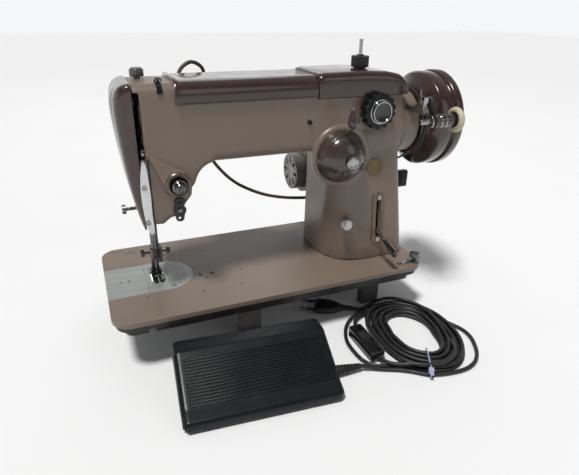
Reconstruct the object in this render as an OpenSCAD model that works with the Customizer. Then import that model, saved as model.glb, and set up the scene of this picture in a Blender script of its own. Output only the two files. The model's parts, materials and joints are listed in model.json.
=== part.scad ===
// Flat-bed zigzag sewing machine head with motor, lamp, foot control and its leads.
// Frame: origin at the centre of the bed's work surface, +X to the handwheel,
// +Y away from the operator, +Z up. The table top is stand_h below the work surface.

/* [Bed] */
// Length of the bed along X
bed_l = 371; // [368:1:374]
// Width of the bed along Y
bed_w = 178; // [176:1:180]
// Corner radius of the bed
bed_r = 20; // [16:1:24]
// Thickness of the bed's top plate
plate_t = 7; // [6:0.5:7]
// Height of the work surface over the table
stand_h = 62; // [61:0.5:64]

/* [Arm and head] */
// Half of the arm's depth
arm_hd = 36; // [35:0.5:36.5]
// Height of the arm's top
arm_top = 221; // [219:1:222]
// Height of the arm's underside
arm_low = 140; // [138:1:142]
// Left end of the casting, where the face plate closes it
head_x = -136.5; // [-137:0.5:-136]
// Wall thickness of the castings
wall = 5; // [4:0.5:6]

/* [Drive] */
// Height of the arm shaft
shaft_z = 162; // [161:0.5:163]
// Radius of the arm shaft
shaft_r = 7; // [6:0.5:7.5]
// Outer radius of the handwheel
wheel_r = 58.4; // [56:0.2:59]
// Pitch radius of the timing pulleys
pulley_r = 18; // [17:0.5:18.5]
// Radial running clearance of the shafts
run_gap = 0.06; // [0.03:0.01:0.09]

/* [Needle] */
// Needle position along X
needle_x = -128; // [-129:0.5:-127]
// Radius of the needle bar and the presser bar
bar_r = 3.6; // [3.4:0.1:3.8]

/* [Foot control] */
// Width of the foot control
pedal_w = 158; // [150:1:164]
// Depth of the foot control
pedal_d = 86; // [84:1:92]
// Diameter of the leads
lead_d = 4.4; // [4:0.2:4.8]

/* [Hidden] */

e = 0.02;
floor_z = -stand_h;
taupe = [0.50, 0.44, 0.40];
brown = [0.24, 0.17, 0.16];
silver = [0.68, 0.69, 0.68];
black = [0.09, 0.10, 0.11];
cream = [0.83, 0.80, 0.66];
grey = [0.42, 0.44, 0.40];

// Pillar: plan at the bed and at the arm
pillar_l = 75;
pillar_top = 156;
front_base = 48;
top_in = 0.5;
front_tilt = atan((front_base - arm_hd + top_in) / pillar_top);
boss_r = 38;
boss_end = 189;

// Needle plate and hook
plate_r = 34.7;
oval_x = -121.7;
seam_x = -141;
hook_z = -27;
bed_shaft_y = 18;
bed_shaft_z = -40;
belt_x = 114;
gear_x = -84;
bar_y = 13;
presser_x = -125;

// Motor behind the pillar
motor_y = 76;
motor_z = 84;
drive_x = 195;

// Winder in front of the handwheel
winder_y = -75;
winder_z = 175;
pivot_y = -58;
pivot_z = 194;

// Foot control
pedal_pos = [-141, -190, floor_z];
pedal_turn = -5;
front_h = 13;
back_h = 45;
hinge_y = 5;
hinge_z = 6;

// ---------- shared shapes ----------

// Rounded rectangle, centred
module rrect(w, h, r) {
  square([w - 2 * r, h], center = true);
  square([w, h - 2 * r], center = true);
  for (sx = [-1, 1], sy = [-1, 1]) translate([sx * (w / 2 - r), sy * (h / 2 - r)]) circle(r, $fn = 48);
}

// Child outline drawn in (y, z), run along +X from x
module along_x(x, len) {
  translate([x, 0, 0]) rotate([90, 0, 90]) linear_extrude(len) children();
}

// Child outline drawn in (x, z), run along +Y from y
module along_y(y, len) {
  translate([0, y + len, 0]) rotate([90, 0, 0]) linear_extrude(len) children();
}

module xcyl(x, y, z, r, len) {
  translate([x, y, z]) rotate([0, 90, 0]) cylinder(r = r, h = len, $fn = 64);
}

module ycyl(x, y, z, r, len) {
  translate([x, y, z]) rotate([-90, 0, 0]) cylinder(r = r, h = len, $fn = 64);
}

module zcyl(x, y, z, r, len) {
  translate([x, y, z]) cylinder(r = r, h = len, $fn = 64);
}

// Box from low corner to high corner
module box(a, b) {
  translate(a) cube(b - a);
}

// Depth of the pillar's front face at height z, and a frame lying on that face
function front_y(z) = -front_base + z * tan(front_tilt);

module on_front(x, z) {
  translate([x, front_y(z), z]) rotate([90 - front_tilt, 0, 0]) children();
}

// Knurled or scalloped round outline
module lobed(r, n, bite) {
  difference() {
    circle(r, $fn = 64);
    for (i = [0:n - 1]) rotate(i * 360 / n) translate([r + bite * 0.35, 0]) circle(bite, $fn = 16);
  }
}

// Slotted cheese head with its shank along -Z
module screw(r, h, shank_r, shank_l) {
  difference() {
    cylinder(r = r, h = h, $fn = 32);
    translate([-r, -0.4, h * 0.5]) cube([2 * r, 0.8, h]);
  }
  translate([0, 0, -shank_l]) cylinder(r = shank_r, h = shank_l, $fn = 32);
}

// Spur gear outline with straight-sided teeth, for module 1
module gear_outline(n) {
  r = n / 2;
  circle(r - 1.2, $fn = 64);
  for (i = [0:n - 1]) rotate(i * 360 / n)
    polygon([[r - 1.6, -0.85], [r + 0.85, -0.3], [r + 0.85, 0.3], [r - 1.6, 0.85]]);
}

// Closed band around two equal pulleys, outline in (y, z)
module band(y1, z1, y2, z2, r) {
  ang = atan2(z2 - z1, y2 - y1);
  len = norm([y2 - y1, z2 - z1]);
  translate([y1, z1]) rotate(ang) {
    circle(r, $fn = 64);
    translate([len, 0]) circle(r, $fn = 64);
    translate([0, -r]) square([len, 2 * r]);
  }
}

// Unit tangent of a route at point i
function way(p, i) = let (a = p[max(i - 1, 0)], b = p[min(i + 1, len(p) - 1)]) (b - a) / norm(b - a);

// Points of one ring of a tube, standing across the route at point i
function ring(p, i, r, n) =
  let (t = way(p, i), up = abs(t.z) > 0.9 ? [0, 1, 0] : [0, 0, 1], s0 = cross(t, up), s = s0 / norm(s0),
    u = cross(s, t))
  [for (k = [0:n - 1]) p[i] + r * (cos(k * 360 / n) * s + sin(k * 360 / n) * u)];

// Round tube along a route, as one closed polyhedron
module tube(p, d, n = 8) {
  m = len(p);
  pts = [for (i = [0:m - 1]) each ring(p, i, d / 2, n)];
  sides = [for (i = [0:m - 2], k = [0:n - 1])
    [i * n + k, (i + 1) * n + k, (i + 1) * n + (k + 1) % n, i * n + (k + 1) % n]];
  caps = [[for (k = [0:n - 1]) k], [for (k = [n - 1:-1:0]) (m - 1) * n + k]];
  polyhedron(pts, concat(sides, caps), convexity = 6);
}

// Oval with straight sides along Y and round ends
module oval(half_x, half_y) {
  for (s = [-1, 1]) translate([0, s * (half_y - half_x)]) circle(half_x, $fn = 64);
  square([2 * half_x, 2 * (half_y - half_x)], center = true);
}

// ---------- bed ----------

hinge_x = 127;
hinge_bore_z = -14;
guide_x = [-80.5, -67];
guide_y = -14;

module bed_casting() color(taupe) difference() {
  union() {
    translate([0, 0, -plate_t]) linear_extrude(plate_t) rrect(bed_l, bed_w, bed_r);
    translate([0, 0, -12]) linear_extrude(12 - e) difference() {
      rrect(bed_l, bed_w, bed_r);
      rrect(bed_l - 18, bed_w - 18, bed_r - 9);
    }
    translate([0, 0, -22]) linear_extrude(22 - plate_t + 1) difference() {
      rrect(bed_l - 24, bed_w - 24, bed_r - 10);
      rrect(bed_l - 34, bed_w - 34, bed_r - 15);
    }
    for (s = [-1, 1]) box([s * hinge_x - 11, bed_w / 2 - 22, -22], [s * hinge_x + 11, bed_w / 2 - 0.5, -2]);
  }
  box([-bed_l / 2 - 1, -plate_r, -2.2], [oval_x, plate_r, 1]);
  zcyl(oval_x, 0, -2.2, plate_r, 4);
  box([-166, -25, -30], [-104, 25, 1]);
  box([97, -26, -10], [131, 36.5, 1]);
  for (s = [-1, 1]) ycyl(s * hinge_x, bed_w / 2 - 20, hinge_bore_z, 4.75, 30);
  for (x = guide_x) zcyl(x, guide_y, -30, 1.9, 40);
  for (p = [[-145.6, -42], [-85.2, -51.6], [-32.2, -19.8], [-40.7, -50.7], [-74.9, -22.1]])
    zcyl(p.x, p.y, -30, 1.2, 40);
  box([-150, -bed_w / 2, -25], [-143, -bed_w / 2 + 20, -12]);
}

module slide_plate() color(silver) difference() {
  box([-bed_l / 2, -plate_r + 0.35, -1.9], [seam_x - 0.3, plate_r - 0.35, 0]);
  for (x = [-169, -160]) zcyl(x, 0, -3, 1.3, 4);
}

module needle_plate() color(silver) difference() {
  union() {
    box([seam_x, -plate_r + 0.1, -2.2], [oval_x, plate_r - 0.1, 0]);
    intersection() {
      zcyl(oval_x, 0, -2.2, plate_r - 0.1, 2.2);
      box([seam_x, -60, -3], [0, 60, 1]);
    }
  }
  box([needle_x - 4, -1.2, -3], [needle_x + 4, 1.2, 1]);
  for (x = [-6, 6]) box([needle_x + x - 1.7, -12, -3], [needle_x + x + 1.7, 13, 1]);
  box([needle_x - 1.7, 4.2, -3], [needle_x + 1.7, 13, 1]);
  for (y = [-27, 27]) zcyl(-113, y, -3, 2.1, 4);
}

module feed_dog() color(silver) {
  difference() {
    box([needle_x - 9, -9, -7.5], [needle_x + 9, 11, -4.5]);
    box([needle_x - 4.5, -4, -8], [needle_x + 4.5, 4, -4]);
  }
  for (x = [-6, 6]) feed_bar(needle_x + x, -9.5, 10.5);
  feed_bar(needle_x, 6.2, 10.5);
  box([needle_x - 4, 10.5, -9.5], [needle_x + 4, 22, -4.5]);
}

// One toothed bar of the feed dog
module feed_bar(x, y0, y1) {
  box([x - 1, y0, -5], [x + 1, y1, -0.9]);
  for (y = [y0 + 0.6:1.6:y1 - 0.6]) translate([x - 1, y, -0.9]) rotate([0, 90, 0])
    linear_extrude(2) polygon([[0, -0.6], [-0.6, 0], [0, 0.6]]);
}

// ---------- castings of the upper machine ----------

module pillar_plan(in) {
  translate([pillar_l + 44, 44 - front_base]) circle(44 - in, $fn = 64);
  translate([180 - 12 - in, -front_base + 12 + in]) circle(12, $fn = 32);
  translate([180 - 8 - in, 41 - 8 - in]) circle(8, $fn = 32);
  translate([pillar_l + 3 + in, 41 - 3 - in]) circle(3, $fn = 32);
}

module pillar_plan_top(in) {
  y = arm_hd - top_in - in;
  translate([pillar_l + 8 + in, 8 - y]) circle(8, $fn = 32);
  translate([163 - 8 - in, 8 - y]) circle(8, $fn = 32);
  translate([163 - 8 - in, y - 8]) circle(8, $fn = 32);
  translate([pillar_l + 3 + in, y - 3]) circle(3, $fn = 32);
}

module pillar(in, z0) {
  hull() {
    translate([0, 0, z0]) linear_extrude(0.5) pillar_plan(in);
    translate([0, 0, pillar_top - 0.5]) linear_extrude(0.5) pillar_plan_top(in);
  }
}

// Head outline in (x, z): left edge, lower right lobe and the curve into the arm
module head_outline() {
  difference() {
    polygon([[head_x, 84], [-131, 79.5], [-118.5, 79], [-110.5, 85], [-97, 87], [-95, 98], [-87, 107.5],
      [-86, 116], [-60, arm_low], [-60, arm_top - 20], [head_x, arm_top - 20]]);
    translate([-58, 117]) circle(24, $fn = 48);
  }
}

module arm_section(in) {
  translate([0, (arm_low + arm_top) / 2]) rrect(2 * (arm_hd - in), arm_top - arm_low - 2 * in, 12);
}

module arm_casting() color(taupe) {
  arm_shell();
  difference() {
    along_x(-92, 8) arm_section(wall - 0.5);
    xcyl(-95, 0, shaft_z, shaft_r + run_gap, 14);
  }
}

module arm_shell() difference() {
  union() {
    along_x(head_x, 163 - head_x) arm_section(0);
    along_y(-arm_hd, 2 * arm_hd) head_outline();
    pillar(0, 0);
    xcyl(140, 0, shaft_z, boss_r, boss_end - 140);
    ycyl(84, -arm_hd - 4, 134.5, 35, 8);
    ycyl(-102, -arm_hd - 5, 123.6, 14, 8);
  }
  along_x(head_x - 1, 164 - wall - head_x) arm_section(wall);
  box([head_x - 1, -arm_hd + wall, 99], [-100, arm_hd - wall, 160]);
  box([head_x - 1, -arm_hd + wall, 107], [-94, arm_hd - wall, 160]);
  difference() {
    pillar(wall, -1);
    box([60, -60, -2], [190, 60, 6]);
  }
  box([98, -25, -1], [130, 34.6, 7]);
  xcyl(100, 0, shaft_z, boss_r - 8, 66);
  xcyl(100, 0, shaft_z, shaft_r + run_gap, 100);
  box([head_x - 1, -arm_hd - 1, 150], [-130.5, -arm_hd + 8, 214]);
  box([head_x - 1, -9, 70], [-117, 8.5, 100]);
  zcyl(presser_x, bar_y, 70, 6, 30);
  box([-88, -20, arm_top - 8], [56, 20, arm_top + 1]);
  box([lid_l - 0.4, -60, 199.5], [lid_r + 0.6, 60, 230]);
  zcyl(presser_x, bar_y, arm_top - 8, 3 + run_gap, 10);
  ycyl(84, -arm_hd - 6, 134.5, 4 + run_gap, 20);
  ycyl(125.5, -arm_hd - 6, 184, 3 + run_gap, 20);
  ycyl(-102, -arm_hd - 8, 123.6, 3, 20);
  ycyl(-114, arm_hd - 10, 112, 3 + run_gap, 20);
  on_front(138, 52) translate([-2.5, -24, -10]) cube([5, 48, 30]);
  on_front(92, 52) translate([0, 0, -12]) cylinder(r = 3 + run_gap, h = 30, $fn = 48);
}

// Silhouette of the face plate in (x, z)
module face_profile() {
  polygon([[head_x, 222], [-143, 221.5], [-149.5, 217], [-154.5, 209], [-157, 199], [-156.5, 188],
    [-155, 176], [-152.5, 152], [-149.5, 127], [-146, 102], [-142, 76], [-139.5, 66], [head_x, 66]]);
}

module face_plan(in) {
  difference() {
    union() {
      translate([head_x + 2, 0]) circle(24 - in, $fn = 96);
      box2(head_x - 16 + in, -arm_hd + 14, head_x + 1, arm_hd - 14);
      for (s = [-1, 1]) translate([head_x - 4, s * (arm_hd - 15)]) circle(15 - in, $fn = 48);
      box2(head_x - 4, -arm_hd + in, head_x + 1, arm_hd - in);
    }
    box2(head_x, -50, head_x + 60, 50);
  }
}

module box2(x0, y0, x1, y1) {
  translate([x0, y0]) square([x1 - x0, y1 - y0]);
}

module face_plate() color(brown) difference() {
  intersection() {
    translate([0, 0, 60]) linear_extrude(170) face_plan(0);
    along_y(-50, 100) face_profile();
  }
  intersection() {
    translate([0, 0, 55]) linear_extrude(163) face_plan(3);
    along_y(-50, 100) translate([3, 0]) face_profile();
  }
  xcyl(-160, 0, 88, 2, 40);
}

module guard_plate() color(silver) difference() {
  along_y(-arm_hd - 1.5, 1.5 - e) polygon([[-134, 151], [-130.5, 143], [-129.5, 120], [-130, 92],
    [-132, 74], [-135.5, 70], [-138.5, 76], [-140, 100], [-140.5, 122], [-138.5, 138]]);
  for (z = [84, 122]) ycyl(-134.8, -arm_hd - 3, z, 1.6, 6);
}

module cover_section(out) {
  translate([0, (arm_low + arm_top) / 2]) rrect(2 * (arm_hd + out), arm_top - arm_low + 2 * out, 12 + out);
}

module arm_top_cover() color(brown) intersection() {
  along_x(-96, 150) difference() {
    cover_section(2.2);
    cover_section(0);
  }
  box([-97, -60, 201], [54, 60, 230]);
}

// ---------- lid and spool pin ----------

lid_l = 54.5;
lid_r = 168;
lug_x = [83, 131];

module lid_profile(in) {
  polygon([[lid_l + in, 200 - in * 20], [lid_l + in, 223 - in], [lid_l + 5, 225.5 - in], [110, 226 - in],
    [lid_r - 12, 221.5 - in], [lid_r - in, 214 - in], [lid_r - in, 200 - in * 20]]);
}

module spool_lid() color(brown) difference() {
  union() {
    along_y(-arm_hd - 2.4, 2 * arm_hd + 4.8) lid_profile(0);
    zcyl(120, -5, 220, 7, 7);
    xcyl(90, arm_hd + 4.6, 203.5, 2.6, 40);
  }
  intersection() {
    along_y(-arm_hd - 0.4, 2 * arm_hd + 0.8) lid_profile(2.4);
    box([0, -100, 0], [200, 100, 223.4]);
  }
  box([98, -60, 190], [152, -20, 206]);
  xcyl(80, arm_hd + 4.6, 203.5, 1.25 + run_gap, 60);
  zcyl(120, -5, 210, 2, 12);
  box([lid_l - 5, arm_hd - 2, 180], [lid_r + 5, arm_hd + 1.9, 207]);
  for (x = lug_x) box([x - 1, arm_hd - 2, 180], [x + 7, arm_hd + 12, 209]);
}

module lid_hinge() {
  xcyl(82, arm_hd + 4.6, 203.5, 1.25, 56);
  for (x = lug_x) difference() {
    box([x, arm_hd, 193], [x + 6, arm_hd + 7, 206]);
    xcyl(x - 1, arm_hd + 4.6, 203.5, 1.25, 8);
  }
}

module spool_pin() color(silver) {
  zcyl(120, -5, 216, 2, 40.5);
  translate([120, -5, 227.2]) linear_extrude(11.8) lobed(10, 28, 0.9);
  zcyl(120, -5, 239, 4, 1.5);
}

// ---------- drive line ----------

module arm_shaft() color(silver) {
  xcyl(-108, 0, shaft_z, shaft_r, 348);
  xcyl(-116, 0, shaft_z, 17, 8);
  xcyl(-119.6, 0, shaft_z + 11, 3, 3.6);
  pulley(belt_x, 0, shaft_z);
}

module pulley(x, y, z) {
  difference() {
    union() {
      xcyl(x - 6, y, z, pulley_r, 12);
      for (s = [-7.5, 6]) xcyl(x + s, y, z, pulley_r + 1.2, 1.5);
    }
    xcyl(x - 10, y, z, 7, 20);
  }
}

// Timing belt inside the pillar and motor belt behind it
module drive_belts() color(black) {
  along_x(belt_x - 5, 10) difference() {
    band(0, shaft_z, bed_shaft_y, bed_shaft_z, pulley_r + 2);
    band(0, shaft_z, bed_shaft_y, bed_shaft_z, pulley_r + 0.15);
  }
  along_x(drive_x - 2, 4) difference() {
    motor_band(42.6, 12.3);
    motor_band(40.8, 10.5);
  }
}

// Band around the handwheel groove and the motor pulley
module motor_band(wheel, pulley) hull() {
  translate([0, shaft_z]) circle(wheel, $fn = 64);
  translate([motor_y, motor_z]) circle(pulley, $fn = 32);
}

module bed_shaft() color(silver) {
  xcyl(-92, bed_shaft_y, bed_shaft_z, 5, 220);
  along_x(gear_x, 10) translate([bed_shaft_y, bed_shaft_z]) gear_outline(30);
  difference() {
    xcyl(belt_x - 7.5, bed_shaft_y, bed_shaft_z, pulley_r, 15);
    xcyl(belt_x - 9, bed_shaft_y, bed_shaft_z, 5, 18);
  }
}

hook_gear_turn = atan2(hook_z - bed_shaft_z, -bed_shaft_y);

module hook_shaft() color(silver) {
  xcyl(-132, 0, hook_z, 4, 74);
  along_x(gear_x, 10) translate([0, hook_z]) rotate(hook_gear_turn + 180 + 12) gear_outline(15);
}

module hook() color(silver) difference() {
  xcyl(-149, 0, hook_z, 17, 17);
  xcyl(-150, 0, hook_z, 13.6, 15.5);
  box([-150, -18, hook_z + 4], [-140, -9, hook_z + 12]);
}

module bobbin_case() color(silver) difference() {
  union() {
    xcyl(-151, 0, hook_z, 13, 16);
    box([-152.5, -3, hook_z + 8], [-149.5, 28, hook_z + 13]);
    box([-152.5, 25.5, hook_z + 8], [-149.5, 31, -plate_t]);
  }
  xcyl(-153, 0, hook_z, 11.8, 16.6);
}

module bobbin() color(silver) difference() {
  union() {
    xcyl(-149, 0, hook_z, 10.5, 1);
    xcyl(-148.5, 0, hook_z, 4.5, 10);
    xcyl(-139, 0, hook_z, 10.5, 1);
    xcyl(-148, 0, hook_z, 8, 9.1);
  }
  xcyl(-160, 0, hook_z, 3, 30);
}

module bearing_block(x, y, z, bore, w) {
  difference() {
    box([x, y - w, z - w], [x + 8, y + w, -plate_t]);
    xcyl(x - 1, y, z, bore + run_gap, 10);
  }
}

module shaft_bearings() color(grey) {
  bearing_block(-103, 0, hook_z, 4, 8);
  difference() {
    box([-66, -8, -49], [-56, 27, -plate_t]);
    xcyl(-70, 0, hook_z, 4 + run_gap, 20);
    xcyl(-70, bed_shaft_y, bed_shaft_z, 5 + run_gap, 20);
  }
  bearing_block(84, bed_shaft_y, bed_shaft_z, 5, 9);
}

module handwheel() color(brown) translate([0, 0, shaft_z]) rotate([0, 90, 0]) rotate_extrude($fn = 96)
  polygon([[7, 190], [40, 190], [42, 191.5], [38.5, 195], [42, 198.5], [45, 200], [53.5, 204], [56.6, 207],
    [57, 209], [57, 221], [56.4, 222.5], [54.8, 223.2], [54.8, 225.2], [wheel_r - 1, 226.4], [wheel_r, 227.6],
    [wheel_r, 235], [wheel_r - 1.4, 237.4], [wheel_r - 4, 238], [wheel_r - 8, 236], [48, 229], [24, 227],
    [20, 230], [20, 236], [7, 236]]);

module clutch_knob() color(silver) difference() {
  translate([236.4, 0, shaft_z]) rotate([90, 0, 90]) linear_extrude(9) lobed(19, 36, 0.8);
  xcyl(230, 0, shaft_z, shaft_r + run_gap, 20);
}

// ---------- head mechanism ----------

gate_x = -133.5;
gate_z = 198;

module needle_bar_gate() color(grey) difference() {
  union() {
    box([needle_x - 4, -7, 168], [needle_x + 4, 7.8, 178]);
    box([needle_x - 4, 5.2, 70], [needle_x + 4, 7.8, 194]);
    box([gate_x - 3.5, 5.2, 192], [needle_x + 4, 9, 204]);
    zcyl(needle_x, 0, 67, 6, 24);
    box([needle_x - 4, 0, 72], [needle_x + 4, 7.8, 90]);
  }
  zcyl(needle_x, 0, 60, bar_r + run_gap, 150);
  ycyl(gate_x, 0, gate_z, 2 + run_gap, 20);
}

module needle_bar() color(silver) difference() {
  union() {
    zcyl(needle_x, 0, 24, bar_r, 173);
    zcyl(needle_x, 0, 26, 5.4, 11);
    xcyl(needle_x + 3, 0, 32, 1.3, 10);
    translate([needle_x + 13, 0, 32]) rotate([0, 90, 0]) linear_extrude(4) lobed(3.8, 14, 0.6);
    difference() {
      box([needle_x + 3, -5, 132], [needle_x + 8, 5, 140]);
      zcyl(needle_x + 5.8, 0, 130, 1, 12);
    }
  }
  zcyl(needle_x, 0, 20, 1.02, 14);
}

module needle() color(silver) {
  zcyl(needle_x, 0, 12, 1, 22);
  zcyl(needle_x, 0, 4, 0.5, 8.5);
  translate([needle_x, 0, -2]) cylinder(r1 = 0.1, r2 = 0.5, h = 6, $fn = 24);
}

take_up_y = 10;
take_up_z = 172;

module take_up_lever() color(silver) difference() {
  translate([-134.8, take_up_y, take_up_z]) rotate([14, 0, 0]) {
    rotate([0, 90, 0]) cylinder(r = 5, h = 2.4, $fn = 48);
    box([0, -52, -2.4], [2.4, 0, 2.4]);
    translate([0, -54, 0]) rotate([0, 90, 0]) cylinder(r = 3.6, h = 2.4, $fn = 48);
  }
  translate([-134.8, take_up_y, take_up_z]) rotate([14, 0, 0]) translate([-1, -54, 0]) rotate([0, 90, 0])
    cylinder(r = 1.5, h = 5, $fn = 32);
  xcyl(-140, take_up_y, take_up_z, 2, 10);
}

module presser_bar() color(silver) {
  zcyl(presser_x, bar_y, 20, bar_r, 168);
  difference() {
    box([presser_x - 2, bar_y - 5, 116], [presser_x + 12, bar_y + 10, 124]);
    zcyl(presser_x, bar_y, 110, bar_r - e, 20);
  }
}

module presser_foot() color(silver) {
  difference() {
    box([presser_x - 6, bar_y - 5.5, 14], [presser_x + 6, bar_y + 5.5, 33]);
    zcyl(presser_x, bar_y, 20, bar_r, 20);
  }
  box([presser_x - 7, bar_y - 5.5, 5], [presser_x + 1, bar_y - 1, 16]);
  box([needle_x - 5.5, 4.8, 0.2], [needle_x + 5.5, bar_y + 1, 6]);
  difference() {
    box([needle_x - 6.5, -13, 0.2], [needle_x + 6.5, 7, 2.2]);
    box([needle_x - 3.8, -3, -1], [needle_x + 3.8, 2.5, 4]);
    box([needle_x - 0.8, -14, -1], [needle_x + 0.8, 0, 4]);
  }
  for (x = [-5.2, 1.2]) translate([needle_x + x, -13, 0.2]) rotate([-28, 0, 0]) translate([0, -4, 0])
    cube([4, 4.2, 1.9]);
  xcyl(presser_x - 15, bar_y, 26, 1.6, 9.5);
  translate([presser_x - 17.5, bar_y, 26]) rotate([0, 90, 0]) linear_extrude(4) lobed(4.4, 16, 0.6);
}

module presser_lifter() color(silver) {
  ycyl(-114, arm_hd - 9, 112, 3, 16);
  translate([-114, arm_hd + 2, 112]) rotate([-90, 0, 0]) cylinder(r = 6, h = 5, $fn = 48);
  box([-114, arm_hd + 2.5, 106], [-80, arm_hd + 6.5, 112]);
  translate([-80, arm_hd + 4.5, 109]) sphere(4, $fn = 32);
}

module presser_spring() color(silver) difference() {
  zcyl(presser_x, bar_y, 126, 5, 58);
  zcyl(presser_x, bar_y, 125, 4.4, 70);
}

module pressure_screw() color(silver) {
  zcyl(presser_x, bar_y, 204, 3, 20);
  translate([presser_x, bar_y, 223]) linear_extrude(7) lobed(7, 20, 0.8);
  zcyl(presser_x, bar_y, 230, 5.5, 1.5);
}

module tension_dial() color(brown) difference() {
  ycyl(-102, -arm_hd - 9, 123.6, 12, 4 - e);
  ycyl(-102, -arm_hd - 12, 123.6, 3, 12);
}

module tension_discs() color(silver) {
  ycyl(-102, -arm_hd - 18, 123.6, 3, 30);
  for (y = [9.7, 11.4]) ycyl(-102, -arm_hd - y - 0.2, 123.6, 9.5, 0.7);
  ycyl(-102, -arm_hd - 14.5, 123.6, 5, 2.9);
}

module tension_nut() color(silver) difference() {
  union() {
    ycyl(-102, -arm_hd - 18, 123.6, 7, 3.2);
    intersection() {
      translate([-102, -arm_hd - 16, 123.6]) sphere(7, $fn = 64);
      ycyl(-102, -arm_hd - 24, 123.6, 8, 7);
    }
  }
  ycyl(-102, -arm_hd - 18.5, 123.6, 3 + run_gap, 6);
}

module thread_guides() color(black) {
  along_y(-arm_hd - 2.5, 2.5 - e) difference() {
    union() {
      translate([-101, 103]) circle(5.5, $fn = 32);
      translate([-101.5, 94]) circle(6.5, $fn = 32);
      translate([-102, 86]) circle(4, $fn = 32);
    }
    translate([-101, 103]) circle(1.5, $fn = 24);
    translate([-102, 86]) circle(1.5, $fn = 24);
  }
  intersection() {
    along_x(-115, 8) difference() {
      cover_section(2.4);
      cover_section(e);
    }
    box([-120, -60, 206], [-100, -20, 230]);
  }
}

// ---------- controls on the pillar ----------

dome_x = 84;
dome_z = 134.5;
knob_x = 125.5;
knob_z = 184;

module width_dome() color(brown) difference() {
  union() {
    intersection() {
      translate([dome_x, -arm_hd + 4, dome_z]) sphere(32, $fn = 96);
      ycyl(dome_x, -arm_hd - 40, dome_z, 31.5, 33);
    }
    ycyl(dome_x, -arm_hd - 7.4, dome_z, 31.5, 3.4 - e);
  }
  ycyl(dome_x, -arm_hd - 40, dome_z, 4 + run_gap, 50);
  ycyl(104, -arm_hd - 26, 124, 3, 20);
}

module width_lever() color(brown) {
  ycyl(dome_x, -arm_hd - 30.5, dome_z, 4, 44);
  along_y(-arm_hd - 31, 2) union() {
    translate([dome_x, dome_z]) circle(7, $fn = 48);
    box2(dome_x - 3, dome_z, dome_x + 3, dome_z + 38);
  }
  translate([dome_x, -arm_hd - 27.5, dome_z + 44]) rotate([-8, 0, 0]) {
    sphere(6.5, $fn = 48);
    cylinder(r1 = 4.5, r2 = 2.5, h = 13, $fn = 32);
  }
}

module pattern_knob() color(black) {
  translate([knob_x, -arm_hd - 3, knob_z]) rotate([90, 0, 0]) linear_extrude(10) lobed(19.5, 14, 3);
  ycyl(knob_x, -arm_hd - 18, knob_z, 11.5, 5.5);
  ycyl(knob_x, -arm_hd - 4, knob_z, 3, 16);
}

module stitch_escutcheon() color(brown) difference() {
  on_front(138, 52) linear_extrude(1.6) rrect(15, 64, 6);
  on_front(138, 52) translate([-2.2, -22, -1]) cube([4.4, 44, 4]);
  for (z = [-27, 27]) on_front(138, 52) translate([0, z, -1]) cylinder(r = 1.6, h = 4, $fn = 32);
}

lever_y = -22;
lever_z = 44;

module stitch_lever() color(silver) {
  xcyl(133, lever_y, lever_z, 5, 10);
  translate([138, lever_y, lever_z]) rotate([18, 0, 0]) {
    box([-1.6, -45, -1.6], [1.6, 0, 1.6]);
    translate([0, -44, 0]) rotate([90, 0, 0]) cylinder(r1 = 2.6, r2 = 3.8, h = 28, $fn = 32);
  }
}

module clamp_screw() color(silver) on_front(92, 52) {
  translate([0, 0, -10]) cylinder(r = 3, h = 12, $fn = 48);
  translate([0, 0, 1.4]) linear_extrude(7) lobed(6.5, 18, 0.8);
  translate([0, 0, 8.4]) cylinder(r = 4.5, h = 1.2, $fn = 48);
}

// ---------- winder ----------

module winder_bracket() color(grey) difference() {
  union() {
    box([172, -52, 180], [184, -24, 186]);
    box([172, -62, 180], [178, -50, 199]);
  }
  xcyl(170, pivot_y, pivot_z, 2.5 + run_gap, 10);
}

module winder_arm() color(brown) {
  xcyl(170, pivot_y, pivot_z, 2.5, 14);
  difference() {
    union() {
      xcyl(180, pivot_y, pivot_z, 5, 5);
      box([180, winder_y, winder_z], [184, pivot_y + 3, pivot_z + 2]);
      xcyl(178.6, winder_y, winder_z, 7.5, 24);
    }
    xcyl(160, winder_y, winder_z, 3 + run_gap, 60);
    xcyl(160, pivot_y, pivot_z, 2.5 - e, 60);
  }
  box([168.5, pivot_y - 3, pivot_z - 3], [171, pivot_y + 3, pivot_z + 16]);
}

module winder_spindle() color(cream) {
  xcyl(160, winder_y, winder_z, 3, 54);
  translate([208.5, winder_y, winder_z]) rotate([0, 90, 0]) rotate_extrude($fn = 64)
    translate([10.5, 0]) circle(3.6, $fn = 24);
  xcyl(206, winder_y, winder_z, 9, 5);
  xcyl(173, winder_y, winder_z, 7, 2);
}

module bed_tension() color(silver) {
  box([153, -79, 0], [177, -73, 1.5]);
  zcyl(177, -75.5, 0, 6, 1.5);
  zcyl(177, -75.5, 1.5 - e, 2, 13);
  for (z = [2.4, 4.2]) zcyl(177, -75.5, z, 7.2, 0.8);
  translate([177, -75.5, 7]) linear_extrude(6) lobed(5.6, 16, 0.6);
  zcyl(160, -76, 1.5 - e, 2.4, 1.4);
  translate([166.5, -76, 1.4]) cylinder(r = 1.1, h = 4, $fn = 24);
}

// ---------- motor, belt, terminal block and lamp ----------

module motor_body() color(grey) difference() {
  union() {
    xcyl(84, motor_y, motor_z, 29, 92);
    xcyl(70, motor_y, motor_z, 24, 14 + e);
    xcyl(176 - e, motor_y, motor_z, 22, 9);
    box([110, 38, 70], [150, motor_y, 98]);
  }
  xcyl(120, motor_y, motor_z, 4 + run_gap, 80);
  for (a = [0:45:315]) translate([70, motor_y, motor_z]) rotate([a, 0, 0]) box([-1, -2, 12], [9, 2, 20]);
  box([0, -20, 0], [220, 37.2, 200]);
}

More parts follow.
